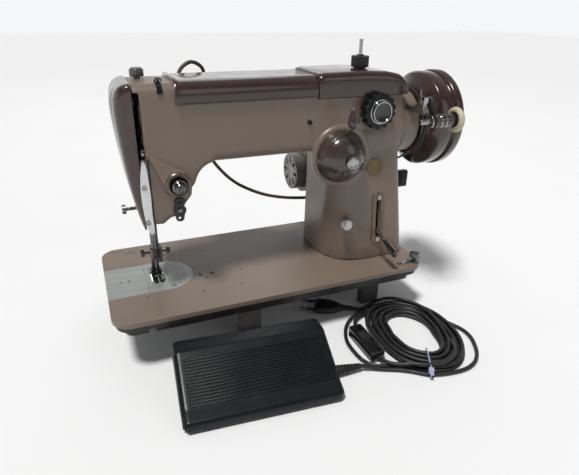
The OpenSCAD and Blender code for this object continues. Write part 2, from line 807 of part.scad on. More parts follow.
module motor_shaft() color(silver) {
  xcyl(130, motor_y, motor_z, 4, 72);
  translate([drive_x, motor_y, motor_z]) rotate([0, 90, 0]) rotate_extrude($fn = 64)
    polygon([[4, -6], [12, -6], [12, -4], [8.5, 0], [12, 4], [12, 6], [4, 6]]);
}

module terminal_block() color(black) {
  box([186 - e, 40, 56], [214, 52, 84]);
  box([214 - e, 41, 54], [240, 51, 78]);
  difference() {
    along_y(36.5, 16) polygon([[166, 60], [166, 98], [176, 98], [186, 84], [186, 60]]);
    for (z = [66, 74, 82]) ycyl(181, 34, z, 2.6, 12);
    xcyl(160, motor_y, motor_z, 29.05, 40);
  }
  for (z = [66, 74, 82]) ycyl(181, 38, z, 1.2, 10);
}

lamp_x0 = -80;
lamp_x1 = -14;
lamp_y = 62;
lamp_z = 152;

module lamp_shade() color(grey) {
  difference() {
    union() {
      xcyl(lamp_x0, lamp_y, lamp_z, 24, lamp_x1 - lamp_x0);
      box([lamp_x0 + 14, arm_hd, lamp_z + 4], [lamp_x1 - 14, lamp_y, lamp_z + 20]);
    }
    xcyl(lamp_x0 + 16, lamp_y, lamp_z, 22, lamp_x1 - lamp_x0 - 18);
    box([lamp_x0 + 16, 30, lamp_z - 30], [lamp_x1 - 2, 100, lamp_z - 8]);
    box([-150, 0, 100], [20, arm_hd, 200]);
  }
  zcyl(lamp_x0 + 5, lamp_y + 1, lamp_z + 20, 5, 14);
}

module lamp_bulb() color("white") {
  xcyl(lamp_x0 + 16, lamp_y, lamp_z, 7, 12);
  translate([lamp_x0 + 38, lamp_y, lamp_z]) sphere(12, $fn = 48);
}

// ---------- stand and screws ----------

module stand_legs() color(black) {
  for (s = [-1, 1]) box([118, s * 50 - 6, floor_z], [142, s * 50 + 6, -plate_t]);
  difference() {
    box([-48, -62, floor_z], [-22, 62, -plate_t]);
    box([-60, -52, floor_z - 1], [-10, 52, -54]);
    box([-60, -56, -54.5], [-10, 56, -12]);
  }
}

module machine_screws() color(silver) {
  for (z = [84, 122]) translate([-134.8, -arm_hd - 1.5 - e, z]) rotate([90, 0, 0]) screw(2.6, 1.6, 1.5, 4);
  for (y = [-27, 27]) translate([-113, y, -1.2]) screw(2, 1, 2, 1);
  for (z = [-27, 27]) on_front(138, 52) translate([0, z, 1.6]) screw(2.6, 1.4, 1.5, 5);
  translate([45, -arm_hd - e, 175]) rotate([90, 0, 0]) screw(2.6, 1.8, 1.2, 3);
  on_front(131, 117) cylinder(r = 10.5, h = 1.4, $fn = 64);
  lid_hinge();
  ycyl(gate_x, 5.2, gate_z, 2, 27);
  translate([104, -arm_hd - 21, 124]) rotate([90, 0, 0]) screw(4.4, 2, 2.9, 12);
  translate([-145, 0, 88]) rotate([0, -90, 0]) screw(1.9, 8, 1.9, 8);
  translate([-153, 0, 88]) rotate([0, -90, 0]) linear_extrude(4) lobed(5, 14, 0.7);
}

// ---------- foot control ----------

module in_pedal() {
  translate(pedal_pos) rotate([0, 0, pedal_turn]) children();
}

// Side outline of the top shell in (y, z): flat back, sloping tread, low nose
module tread_side(in, low) {
  polygon([[in, low ? -9 : 3], [in, front_h - 3 - in * 0.3], [in + 2, front_h - in], [14, 17.5 - in],
    [58, 41.5 - in], [64, back_h - in], [pedal_d - 4, back_h - in], [pedal_d - in, back_h - 4 - in * 0.4],
    [pedal_d - in, low ? -9 : 17]]);
}

module pedal_tread() color(black) in_pedal() difference() {
  union() {
    along_x(0, pedal_w) tread_side(0, false);
    for (i = [0:13]) translate([10, 17 + i * 3, 19.1 + i * 3 * 24 / 44]) rotate([28.6, 0, 0])
      cube([pedal_w - 20, 1.4, 1.1]);
  }
  along_x(2.5, pedal_w - 5) tread_side(2.5, true);
  xcyl(-5, hinge_y, hinge_z, 1.5 + run_gap, pedal_w + 10);
  translate([pedal_w - 10, gland_y - 7, -5]) cube([20, 14, 25]);
}

module pedal_base() color(black) in_pedal() {
  difference() {
    box([3.4, 4.2, 0], [pedal_w - 3.4, pedal_d - 3.4, 9.6]);
    box([6, 9, 2.5], [pedal_w - 6, pedal_d - 6, 40]);
  }
  box([30, 30, 2.4], [90, 60, 14]);
  xcyl(0.4, hinge_y, hinge_z, 1.5, 4);
  xcyl(pedal_w - 4.4, hinge_y, hinge_z, 1.5, 4);
}

gland_y = 37;
gland_z = 7;
gland_l = 36;

module pedal_gland() color(black) in_pedal() {
  translate([pedal_w - 3.4, gland_y, gland_z]) rotate([0, 90, 0])
    cylinder(r1 = 6, r2 = 3.2, h = gland_l, $fn = 32);
  for (i = [0:5]) xcyl(pedal_w + 3 + i * 4, gland_y, gland_z, 6.4 - i * 0.45, 1.6);
}

// ---------- leads ----------

lie_z = floor_z + lead_d / 2 + 0.2;
coil_c = [141, -138];
coil_half = [49, 68];
coil_hole = [20.6, 39.6];
coil_h = 2 * lead_d + 0.4;

// Foot control's lead: strain relief round the bottom of the coil, a stray turn round the in-line block,
// and the coil to the block
pedal_route_a = [[52.2, -169.8, -55], [62, -173, -57.5], [75, -179, lie_z], [88, -185, lie_z],
  [101, -193, lie_z], [114, -203, lie_z], [127, -208, lie_z], [141, -210, lie_z],
  [155, -211, lie_z], [168, -209, lie_z], [180, -203, lie_z], [190, -194, lie_z],
  [197, -182, lie_z], [201, -170, lie_z], [201, -157, lie_z], [197, -145, lie_z],
  [192.4, -134, lie_z]];
pedal_route_b = [[108, -75, lie_z], [99, -77.5, lie_z], [90, -82, lie_z], [81, -89, lie_z],
  [73, -98, lie_z], [67, -108, lie_z], [62, -120, lie_z], [60, -133, lie_z], [60, -145, lie_z],
  [61, -156, lie_z], [65.5, -166, lie_z], [74, -172.5, lie_z], [84, -176.5, lie_z],
  [94.4, -178.8, lie_z]];
pedal_route_c = [[104.6, -82.6, lie_z], [96, -86, -58.5], [89, -92, -57], [84, -100, -55.8],
  [82, -108, -55.5]];

// Mains lead: in-line block to the coil, and the coil to the plug
mains_route_a = [[78, -164, -55.5], [80, -172.5, -55], [86, -180, -54.4], [94, -186, -53],
  [102, -190, -51.2]];
mains_route_b = [[136, -67, -52.5], [127, -66.8, -56], [117, -68, -58.6], [107, -69.4, -58.4],
  [98, -68, -56]];

module pedal_lead() color(black) {
  tube(pedal_route_a, lead_d);
  tube(pedal_route_b, lead_d);
  tube(pedal_route_c, lead_d);
}

module mains_lead() color(black) {
  tube(mains_route_a, lead_d);
  tube(mains_route_b, lead_d);
}

// Both leads wound together, two layers high
module lead_coil() color(black) translate([coil_c.x, coil_c.y, floor_z])
  linear_extrude(coil_h) difference() {
  oval(coil_half.x, coil_half.y);
  oval(coil_hole.x, coil_hole.y);
}

// Tie arched over the winding and the lead beside it
tie_turn = 242;
tie_w = 4;

module lead_tie() color("lavender")
  translate([coil_c.x, coil_c.y - coil_half.y + coil_half.x, floor_z])
  rotate([0, 0, tie_turn]) difference() {
    box([coil_hole.x - 2.2, -tie_w / 2, 0.2], [58, tie_w / 2, coil_h + 1.6]);
    box([coil_hole.x - 0.5, -tie_w, -1], [56.6, tie_w, coil_h + 0.3]);
  }

// Moulded block that joins the two leads to the machine
block_c = [78, -136];

module inline_block() color(black) difference() {
  translate([block_c.x, block_c.y, floor_z]) linear_extrude(13) rrect(17, 56, 3);
  for (x = [-4, 4]) ycyl(block_c.x + x, block_c.y - 29, floor_z + 6.5, 1.6, 14);
}

// Two-pin plug lying flat, its cable end towards the coil
plug_back = [98, -68, -56];
plug_turn = 151;

module mains_plug() color(black) translate(plug_back) rotate([0, 0, plug_turn]) {
  rotate([0, 90, 0]) cylinder(r1 = 3.4, r2 = 5, h = 16, $fn = 32);
  translate([14, 0, -5.5]) linear_extrude(11)
    polygon([[0, -5], [10, -12], [34, -13], [34, 13], [10, 12], [0, 5]]);
  for (y = [-9.3, 9.3]) xcyl(34, y, 0, 2, 19);
}

// ---------- lamp cord ----------

route_lamp = [[-75, 63, 186], [-76, 63, 199], [-75, 65, 212], [-69.5, 68, 223], [-57, 72, 229],
  [-44.5, 77, 223], [-40, 82, 212], [-39.5, 87, 199], [-40, 90, 185], [-41, 91, 171], [-42, 91, 157],
  [-42.5, 91, 143], [-41.5, 91, 129], [-37.5, 91, 115], [-31, 91, 102], [-22, 91, 90],
  [-12, 91, 79], [0, 91, 69],
  [13, 91, 61], [27, 90, 54], [42, 90, 48], [57, 89, 44], [72, 88, 41], [87, 86, 39.5], [102, 83, 39],
  [117, 79, 39.5], [131, 73, 40.5], [145, 66, 42.5], [157, 58.5, 46.5], [167, 51, 52.5], [174, 45, 60]];

module lamp_cord() color(brown) tube(route_lamp, lead_d);

bed_casting();
arm_casting();
face_plate();
guard_plate();
arm_top_cover();
spool_lid();
spool_pin();
slide_plate();
needle_plate();
feed_dog();
hook();
hook_shaft();
bobbin_case();
bobbin();
bed_shaft();
shaft_bearings();
drive_belts();
arm_shaft();
handwheel();
clutch_knob();
needle_bar_gate();
needle_bar();
needle();
take_up_lever();
presser_bar();
presser_foot();
presser_lifter();
presser_spring();
pressure_screw();
tension_dial();
tension_discs();
tension_nut();
thread_guides();
width_dome();
width_lever();
pattern_knob();
stitch_escutcheon();
stitch_lever();
clamp_screw();
winder_bracket();
winder_arm();
winder_spindle();
bed_tension();
motor_body();
motor_shaft();
terminal_block();
lamp_shade();
lamp_bulb();
lamp_cord();
stand_legs();
machine_screws();
pedal_base();
pedal_tread();
pedal_gland();
pedal_lead();
mains_lead();
lead_coil();
lead_tie();
inline_block();
mains_plug();
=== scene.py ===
"""Looks of the flat-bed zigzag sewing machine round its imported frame. Working lengths are millimetres."""
import json
import math

import bmesh
import bpy
import numpy as np
from mathutils import Matrix, Vector

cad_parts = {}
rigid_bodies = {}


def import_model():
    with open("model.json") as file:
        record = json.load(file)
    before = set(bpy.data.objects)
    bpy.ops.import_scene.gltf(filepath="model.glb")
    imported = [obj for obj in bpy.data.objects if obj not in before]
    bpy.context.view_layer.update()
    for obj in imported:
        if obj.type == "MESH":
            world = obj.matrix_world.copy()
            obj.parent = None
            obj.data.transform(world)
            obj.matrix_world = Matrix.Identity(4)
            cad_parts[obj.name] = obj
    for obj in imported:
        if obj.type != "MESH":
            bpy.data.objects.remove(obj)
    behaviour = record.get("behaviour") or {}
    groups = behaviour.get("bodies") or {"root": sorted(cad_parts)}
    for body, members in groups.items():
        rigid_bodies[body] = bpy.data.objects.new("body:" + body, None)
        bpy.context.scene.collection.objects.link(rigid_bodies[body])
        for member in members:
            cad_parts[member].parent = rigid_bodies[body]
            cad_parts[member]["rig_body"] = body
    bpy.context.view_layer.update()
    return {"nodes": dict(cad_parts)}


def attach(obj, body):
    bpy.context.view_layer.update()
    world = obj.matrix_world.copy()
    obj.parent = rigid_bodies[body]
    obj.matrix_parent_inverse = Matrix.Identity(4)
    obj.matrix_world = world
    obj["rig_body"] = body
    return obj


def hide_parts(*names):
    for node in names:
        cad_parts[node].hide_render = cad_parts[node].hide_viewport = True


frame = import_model()
MM = 0.001
NODES = frame["nodes"]
PI = math.pi
FLOOR_Z = -62.0
scene = bpy.context.scene


# ---------- camera, floor and light ----------

FRAME_W = 579
FOCAL_PX = 496.4
CAM_AZ, CAM_EL, CAM_ROLL = 0.3983, 0.4411, 0.0166
CAM_POS = (-0.18216, -0.5251, 0.29145)


def add_camera():
    data = bpy.data.cameras.new("camera")
    cam = bpy.data.objects.new("camera", data)
    scene.collection.objects.link(cam)
    fwd = Vector((math.sin(CAM_AZ) * math.cos(CAM_EL), math.cos(CAM_AZ) * math.cos(CAM_EL),
                  -math.sin(CAM_EL)))
    right = Vector((math.cos(CAM_AZ), -math.sin(CAM_AZ), 0))
    up = right.cross(fwd)
    side = right * math.cos(CAM_ROLL) + up * math.sin(CAM_ROLL)
    top = up * math.cos(CAM_ROLL) - right * math.sin(CAM_ROLL)
    m = Matrix((side, top, -fwd)).transposed().to_4x4()
    m.translation = CAM_POS
    cam.matrix_world = m
    data.sensor_fit = "HORIZONTAL"
    data.sensor_width = 36
    data.lens = FOCAL_PX / FRAME_W * 36
    data.clip_start = 0.01
    scene.camera = cam


def add_area(name, pos, target, size, power, color=(1, 1, 1)):
    data = bpy.data.lights.new(name, "AREA")
    data.shape = "DISK"
    data.size = size
    data.energy = power
    data.color = color
    o = bpy.data.objects.new(name, data)
    o.location = pos
    o.rotation_euler = (Vector(target) - Vector(pos)).to_track_quat("-Z", "Y").to_euler()
    scene.collection.objects.link(o)


def add_light():
    world = bpy.data.worlds.new("world")
    scene.world = world
    scene.view_settings.view_transform = "Standard"
    world.use_nodes = True
    t = world.node_tree
    split = t.nodes.new("ShaderNodeSeparateXYZ")
    t.links.new(t.nodes.new("ShaderNodeTexCoord").outputs["Generated"], split.inputs[0])
    parts = []
    for axis, lo, hi, at_lo, at_hi in (("Y", -0.5, 0.35, 0.3, 1.0), ("Z", 0.12, 0.5, 0.93, 0.3)):
        room = t.nodes.new("ShaderNodeMapRange")
        room.interpolation_type = "SMOOTHSTEP"
        for key, v in (("From Min", lo), ("From Max", hi), ("To Min", at_lo), ("To Max", at_hi)):
            room.inputs[key].default_value = v
        t.links.new(split.outputs[axis], room.inputs["Value"])
        parts.append(room.outputs[0])
    both = t.nodes.new("ShaderNodeMath")
    both.operation = "MULTIPLY"
    t.links.new(parts[0], both.inputs[0])
    t.links.new(parts[1], both.inputs[1])
    t.nodes["Background"].inputs[0].default_value = (0.985, 0.99, 1, 1)
    t.links.new(both.outputs[0], t.nodes["Background"].inputs[1])
    data = bpy.data.lights.new("key", "SUN")
    data.energy = 2.75
    data.angle = math.radians(11)
    data.color = (1, 0.985, 0.965)
    key = bpy.data.objects.new("key", data)
    key.rotation_euler = Vector((0.46, 0.30, -1.5)).to_track_quat("-Z", "Y").to_euler()
    scene.collection.objects.link(key)
    add_area("fill", (0.9, -1.2, 0.9), (0.05, -0.05, 0.08), 0.9, 1.5, (0.96, 0.98, 1))
    add_area("back", (0.5, 1.3, 1.2), (0, 0, 0.1), 1.0, 2)


def add_floor(material):
    s = 6
    me = bpy.data.meshes.new("floor")
    me.from_pydata([(-s, -s, FLOOR_Z * MM), (s, -s, FLOOR_Z * MM), (s, s, FLOOR_Z * MM),
                    (-s, s, FLOOR_Z * MM)], [],
                   [(0, 1, 2, 3)])
    me.materials.append(material)
    o = bpy.data.objects.new("floor", me)
    scene.collection.objects.link(o)


# ---------- materials ----------

def ramp(tree, source, stops):
    n = tree.nodes.new("ShaderNodeValToRGB")
    e = n.color_ramp.elements
    while len(e) < len(stops):
        e.new(0.5)
    for el, (pos, val) in zip(e, stops):
        el.position = pos
        el.color = (val, val, val, 1) if isinstance(val, (int, float)) else (*val, 1)
    tree.links.new(source, n.inputs[0])
    return n.outputs[0]


def noise(tree, coord, scale, detail=4, rough=0.55, stretch=None):
    if stretch:
        m = tree.nodes.new("ShaderNodeMapping")
        m.inputs["Scale"].default_value = stretch
        tree.links.new(coord, m.inputs[0])
        coord = m.outputs[0]
    n = tree.nodes.new("ShaderNodeTexNoise")
    n.inputs["Scale"].default_value = scale
    n.inputs["Detail"].default_value = detail
    n.inputs["Roughness"].default_value = rough
    tree.links.new(coord, n.inputs["Vector"])
    return n.outputs["Fac"]


def mix(tree, fac, a, b, mode="MIX"):
    n = tree.nodes.new("ShaderNodeMix")
    n.data_type = "RGBA"
    n.blend_type = mode
    for key, v in (("Factor", fac), ("A", a), ("B", b)):
        kind = "VALUE" if key == "Factor" else "RGBA"
        sock = [i for i in n.inputs if i.name == key and i.type == kind][0]
        if isinstance(v, tuple):
            sock.default_value = (*v, 1)
        elif isinstance(v, (int, float)):
            sock.default_value = v
        else:
            tree.links.new(v, sock)
    return [o for o in n.outputs if o.type == "RGBA"][0]


def scaled(c, k):
    return tuple(min(1, v * k) for v in c)


def surface(name, color, rough=0.4, metal=0.0, coat=0.0, spread=0.1, blotch=18, rough_spread=0.1, grain=0.05,
            grain_scale=900, stretch=None, wear=None, wear_at=0.56, dust=0.0, specular=0.5, crease_shade=0.0,
            coat_rough=0.08):
    """Procedural finish: blotchy colour, uneven gloss, grain in the bump, worn edges, painted shade in
    concave corners.
    """
    m = bpy.data.materials.new(name)
    m.use_nodes = True
    t = m.node_tree
    b = t.nodes["Principled BSDF"]
    coord = t.nodes.new("ShaderNodeTexCoord").outputs["Object"]
    big = noise(t, coord, blotch, 5, 0.6, stretch)
    col = ramp(t, big, [(0.3, scaled(color, 1 - spread)), (0.7, scaled(color, 1 + spread))])
    fine = noise(t, coord, grain_scale, 3, 0.6, stretch)
    col = mix(t, ramp(t, fine, [(0.62, 0.0), (0.72, 0.25)]), col, scaled(color, 0.7))
    geo = t.nodes.new("ShaderNodeNewGeometry")
    # Concave corners and creases, picked out by pointiness, are darkened towards a quarter of the colour:
    # painted shade.
    if crease_shade:
        low = ramp(t, geo.outputs["Pointiness"], [(0.40, crease_shade), (0.49, 0.0)])
        col = mix(t, low, col, scaled(color, 0.25))
    if dust:
        spots = ramp(t, noise(t, coord, 60, 8, 0.75), [(0.5, 0.0), (0.75, dust)])
        col = mix(t, spots, col, (0.55, 0.53, 0.5))
    if wear:
        edge = ramp(t, geo.outputs["Pointiness"], [(wear_at, 0.0), (wear_at + 0.06, 1.0)])
        patch = ramp(t, noise(t, coord, 130, 4), [(0.48, 0.0), (0.6, 1.0)])
        both = mix(t, edge, (0.0, 0.0, 0.0), patch)
        col = mix(t, both, col, wear)
    t.links.new(col, b.inputs["Base Color"])
    uneven = noise(t, coord, blotch * 4, 6, 0.65, stretch)
    r = ramp(t, uneven, [(0.3, max(0.02, rough - rough_spread)), (0.7, min(1, rough + rough_spread))])
    t.links.new(r, b.inputs["Roughness"])
    b.inputs["Metallic"].default_value = metal
    b.inputs["Specular IOR Level"].default_value = specular
    b.inputs["Coat Weight"].default_value = coat
    b.inputs["Coat Roughness"].default_value = coat_rough
    if grain:
        bump = t.nodes.new("ShaderNodeBump")
        bump.inputs["Strength"].default_value = grain
        bump.inputs["Distance"].default_value = 0.0004
        t.links.new(fine, bump.inputs["Height"])
        t.links.new(bump.outputs[0], b.inputs["Normal"])
    return m


TAUPE = (0.192, 0.148, 0.116)
BROWN = (0.040, 0.021, 0.018)
MAT = {
    "taupe": surface("taupe_enamel", TAUPE, 0.38, coat=0.12, coat_rough=0.3, spread=0.06, blotch=9,
                     grain=0.05, grain_scale=1400,
                     wear=(0.12, 0.10, 0.09), wear_at=0.60, crease_shade=0.5, rough_spread=0.08),
    "brown": surface("brown_enamel", BROWN, 0.2, coat=0.55, coat_rough=0.07, spread=0.16, blotch=14,
                     grain=0.03, grain_scale=700,
                     wear=(0.16, 0.11, 0.09), wear_at=0.60, rough_spread=0.08),
    "steel": surface("bright_steel", (0.36, 0.36, 0.35), 0.34, 1.0, spread=0.16, blotch=40, grain=0.12,
                     grain_scale=1500,
                     crease_shade=0.5, rough_spread=0.12),
    "plate": surface("ground_plate", (0.37, 0.385, 0.375), 0.45, 0.45, spread=0.14, blotch=30, grain=0.16,
                     grain_scale=300,
                     stretch=(0.3, 6, 1), crease_shade=0.4, rough_spread=0.12),
    "chrome": surface("dull_chrome", (0.38, 0.38, 0.375), 0.17, 1.0, spread=0.12, blotch=60, grain=0.04,
                      crease_shade=0.6,
                      rough_spread=0.1),
    # A darker copy of the dull chrome. On the needle bar, presser bar, presser foot and pressure screw its
    # darkness is painted shade and dark reflection from round the needle; it also colours the tension discs
    # and nut, the thread guide's washer and strap, the bed tension knob and some screws.
    "smoked": surface("dark_chrome", (0.17, 0.17, 0.165), 0.2, 1.0, spread=0.2, blotch=60, grain=0.06,
                      crease_shade=0.5, rough_spread=0.1),
    "mirror": surface("guard_chrome", (0.66, 0.67, 0.68), 0.24, 0.75, spread=0.04, blotch=30, grain=0.01,
                      rough_spread=0.03),
    "cast": surface("grey_casting", (0.10, 0.095, 0.088), 0.62, 0.2, spread=0.25, blotch=40, grain=0.5,
                    grain_scale=500),
    "grey": surface("grey_enamel", (0.115, 0.105, 0.095), 0.42, coat=0.1, spread=0.15, blotch=20, grain=0.15,
                    wear=(0.3, 0.3, 0.3)),
    "black": surface("black_steel", (0.018, 0.017, 0.016), 0.42, spread=0.3, blotch=30, grain=0.12,
                     dust=0.05),
    "umber": surface("umber_enamel", (0.050, 0.034, 0.030), 0.22, coat=0.7, coat_rough=0.08, spread=0.12,
                     blotch=14, grain=0.03,
                     wear=(0.16, 0.12, 0.1), wear_at=0.6),
    "bronze": surface("worn_bronze", (0.15, 0.115, 0.085), 0.32, 0.5, spread=0.2, blotch=60, grain=0.1,
                      crease_shade=0.5),
    "plastic": surface("black_plastic", (0.0065, 0.0095, 0.0105), 0.3, spread=0.22, blotch=16, grain=0.16,
                       grain_scale=1600,
                       rough_spread=0.04, specular=0.28),
    "gloss": surface("black_gloss", (0.008, 0.008, 0.009), 0.14, coat=0.6, spread=0.2, grain=0.02,
                     rough_spread=0.06,
                     dust=0.03),
    "cream": surface("cream_rubber", (0.55, 0.50, 0.35), 0.6, spread=0.12, blotch=80, grain=0.3, crease_shade=0.5),
    "rubber": surface("black_rubber", (0.013, 0.0135, 0.014), 0.46, spread=0.25, blotch=24, grain=0.2,
                      grain_scale=1200,
                      dust=0.05, rough_spread=0.12),
    "cord": surface("brown_cord", (0.075, 0.058, 0.036), 0.5, spread=0.2, blotch=30, grain=0.3,
                    grain_scale=900),
    "lilac": surface("lilac_plastic", (0.42, 0.45, 0.66), 0.35, spread=0.1, blotch=90, grain=0.1),
    "brass": surface("aged_brass", (0.15, 0.115, 0.055), 0.45, 0.6, spread=0.3, blotch=90, grain=0.3,
                     grain_scale=1100,
                     crease_shade=0.6, rough_spread=0.15),
    # Near-black. On the dome's lever slot and along the guard plate's edge it is painted shade; it also marks
    # the needle plate's lines and one screw.
    "dark": surface("dark_inside", (0.008, 0.007, 0.007), 0.7, spread=0.3, blotch=30, grain=0.1),
    "lamp": surface("frosted_glass", (0.80, 0.79, 0.74), 0.35, spread=0.05, blotch=40, grain=0.05),
    "floor": surface("pale_floor", (0.86, 0.865, 0.875), 0.6, spread=0.008, blotch=3, grain=0.02,
                     specular=0.2),
}


# ---------- mesh building ----------

def obj(name, verts, faces, material, smooth=40, extra=()):
    """A mesh object from millimetre points. extra is more materials."""
    me = bpy.data.meshes.new(name)
    me.from_pydata([tuple(float(c) * MM for c in v) for v in verts], [],
                   [tuple(int(i) for i in f) for f in faces])
    me.materials.append(material)
    for x in extra:
        me.materials.append(x)
    me.validate()
    me.polygons.foreach_set("use_smooth", [True] * len(me.polygons))
    me.set_sharp_from_angle(angle=math.radians(smooth))
    o = bpy.data.objects.new(name, me)
    scene.collection.objects.link(o)
    return o


def place(o, body, slot, *nodes):
    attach(o, body)
    if nodes:
        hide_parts(*nodes)
    return o


class Build:
    """Collects solids with their materials into one piece."""

    def __init__(self, name):
        self.name = name
        self.verts = []
        self.faces = []
        self.mats = []
        self.index = []

    def add(self, solid, material, m=None):
        verts, faces = move(solid, m) if m else solid
        n = len(self.verts)
        self.verts.extend([tuple(v) for v in verts])
        self.faces.extend([tuple(int(i) + n for i in f) for f in faces])
        if material not in self.mats:
            self.mats.append(material)
        self.index.extend([self.mats.index(material)] * len(faces))
        return self

    def done(self, smooth=40):
        o = obj(self.name, self.verts, self.faces, MAT[self.mats[0]], smooth, [MAT[k] for k in self.mats[1:]])
        if len(o.data.polygons) == len(self.index):
            o.data.polygons.foreach_set("material_index", self.index)
        return o


def move(solid, m):
    verts, faces = solid
    return [tuple(m @ Vector(v)) for v in verts], faces


def frame_at(origin, z, x=None):
    """Matrix whose local Z points along z."""
    z = Vector(z).normalized()
    x = Vector(x) if x else (Vector((0, 0, 1)).cross(z) if abs(z.z) < 0.9 else Vector((1, 0, 0)))
    x = (x - z * x.dot(z)).normalized()
    y = z.cross(x)
    m = Matrix((x, y, z)).transposed().to_4x4()
    m.translation = origin
    return m


def front(x, y, z):
    """Local X is +X, local Y is +Z and local Z is -Y."""
    return frame_at((x, y, z), (0, -1, 0), (1, 0, 0))


def along(x, y, z):
    """Local X is +Y, local Y is +Z and local Z is +X."""
    return frame_at((x, y, z), (1, 0, 0), (0, 1, 0))


def lathe(profile, seg=64, lobes=None):
    """Profile of (r, h) turned about local Z, closed where it meets r 0. lobes(r, h, angle) may change r."""
    verts, faces, rows = [], [], []
    for r, h in profile:
        if r < 1e-6:
            rows.append([len(verts)] * seg)
            verts.append((0, 0, h))
            continue
        rows.append(list(range(len(verts), len(verts) + seg)))
        for i in range(seg):
            a = 2 * PI * i / seg
            q = lobes(r, h, a) if lobes else r
            verts.append((q * math.cos(a), q * math.sin(a), h))
    for a, b in zip(rows, rows[1:]):
        for i in range(seg):
            j = (i + 1) % seg
            f = [a[i], a[j], b[j], b[i]]
            f = [v for k, v in enumerate(f) if v != f[k - 1]]
            if len(f) > 2:
                faces.append(f)
    return verts, faces


def arc(cx, cy, r, a0, a1, n=8):
    return [(cx + r * math.cos(math.radians(a0 + (a1 - a0) * i / n)),
             cy + r * math.sin(math.radians(a0 + (a1 - a0) * i / n)))
            for i in range(n + 1)]


def soft(profile, r=0.4, n=3):
    """Rounds the corners of a lathe profile or open outline."""
    out = [profile[0]]
    for a, b, c in zip(profile, profile[1:], profile[2:]):
        pa, pb, pc = Vector(a), Vector(b), Vector(c)
        la, lc = (pa - pb).length, (pc - pb).length
        k = min(r, la * 0.45, lc * 0.45)
        if k < 1e-4:
            out.append(b)
            continue
        p0, p1 = pb + (pa - pb) / la * k, pb + (pc - pb) / lc * k
        for i in range(n + 1):
            t = i / n
            out.append(tuple((1 - t) ** 2 * p0 + 2 * t * (1 - t) * pb + t * t * p1))
    out.append(profile[-1])
    return out


def walls(rows, k):
    """Quads between successive rings of k points."""
    return [(r * k + i, r * k + (i + 1) % k, (r + 1) * k + (i + 1) % k, (r + 1) * k + i)
            for r in range(rows - 1) for i in range(k)]


def prism(outline, h0, h1, edge=0.0, steps=2):
    """Outline extruded along local Z, its top edge rounded inwards by edge."""
    pts = np.array(outline, float)
    nxt, prv = np.roll(pts, -1, 0), np.roll(pts, 1, 0)
    d0, d1 = pts - prv, nxt - pts
    area = np.sum(pts[:, 0] * nxt[:, 1] - nxt[:, 0] * pts[:, 1])
    n0 = np.stack([d0[:, 1], -d0[:, 0]], 1) / (np.linalg.norm(d0, axis=1)[:, None] + 1e-9)
    n1 = np.stack([d1[:, 1], -d1[:, 0]], 1) / (np.linalg.norm(d1, axis=1)[:, None] + 1e-9)
    n = n0 + n1
    n = n / (np.linalg.norm(n, axis=1)[:, None] ** 2 / 2 + 1e-6)
    if area < 0:
        pts, n = pts[::-1], -n[::-1]
    rows = [(0.0, h0)]
    sign = 1 if h1 > h0 else -1
    if edge:
        rows += [(edge * (1 - math.cos(PI / 2 * i / steps)),
                  h1 - sign * edge * (1 - math.sin(PI / 2 * i / steps)))
                 for i in range(steps + 1)]
    else:
        rows.append((0.0, h1))
    k = len(pts)
    verts = [(x, y, h) for off, h in rows for x, y in pts - n * off]
    ends = [tuple(range(k - 1, -1, -1)), tuple(range((len(rows) - 1) * k, len(rows) * k))]
    return verts, walls(len(rows), k) + ends


def rounded(w, h, r, n=6, cx=0.0, cy=0.0):
    out = []
    for sx, sy, a in ((1, 1, 0), (-1, 1, 90), (-1, -1, 180), (1, -1, 270)):
        out += arc(cx + sx * (w / 2 - r), cy + sy * (h / 2 - r), r, a, a + 90, n)
    return out


def circle(r, n=32, cx=0.0, cy=0.0):
    return [(cx + r * math.cos(2 * PI * i / n), cy + r * math.sin(2 * PI * i / n)) for i in range(n)]


def lobed(r, n, depth, per=8, sharp=1.0):
    out = []
    for i in range(n * per):
        a = 2 * PI * i / (n * per)
        out.append((r - depth * (0.5 + 0.5 * math.cos(n * a)) ** sharp, a))
    return [(q * math.cos(a), q * math.sin(a)) for q, a in out]


def cuboid(lo, hi, edge=0.0):
    cx, cy = (lo[0] + hi[0]) / 2, (lo[1] + hi[1]) / 2
    w, h = hi[0] - lo[0], hi[1] - lo[1]
    r = max(min(edge if edge else 0.05, w / 2.1, h / 2.1), 0.02)
    return prism(rounded(w, h, r, 2, cx, cy), lo[2], hi[2], edge)


def smooth_path(points, step=3.0):
    """Catmull-Rom curve through the points, about one point every step."""
    p = np.array(points, float)
    p = np.vstack([2 * p[0] - p[1], p, 2 * p[-1] - p[-2]])
    out = []
    for i in range(1, len(p) - 2):
        a, b, c, d = p[i - 1:i + 3]
        n = max(1, int(np.linalg.norm(c - b) / step))
        for k in range(n):
            t = k / n
            out.append(0.5 * (2 * b + (c - a) * t + (2 * a - 5 * b + 4 * c - d) * t ** 2
                              + (3 * b - a - 3 * c + d) * t ** 3))
    out.append(p[-2])
    return np.array(out)


def sweep(path, section):
    """Section of (side, up) points carried along a path without turning about it."""
    path = np.array(path, float)
    tang = np.gradient(path, axis=0)
    tang /= np.linalg.norm(tang, axis=1)[:, None]
    up = np.array([0, 0, 1.0]) if abs(tang[0][2]) < 0.9 else np.array([0, 1.0, 0])
    verts = []
    k = len(section)
    for p, t in zip(path, tang):
        side = np.cross(t, up)
        side /= np.linalg.norm(side)
        up = np.cross(side, t)
        verts += [tuple(p + side * x + up * y) for x, y in section]
    ends = [tuple(range(k - 1, -1, -1)), tuple(range((len(path) - 1) * k, len(path) * k))]
    return verts, walls(len(path), k) + ends


# ---------- leads ----------

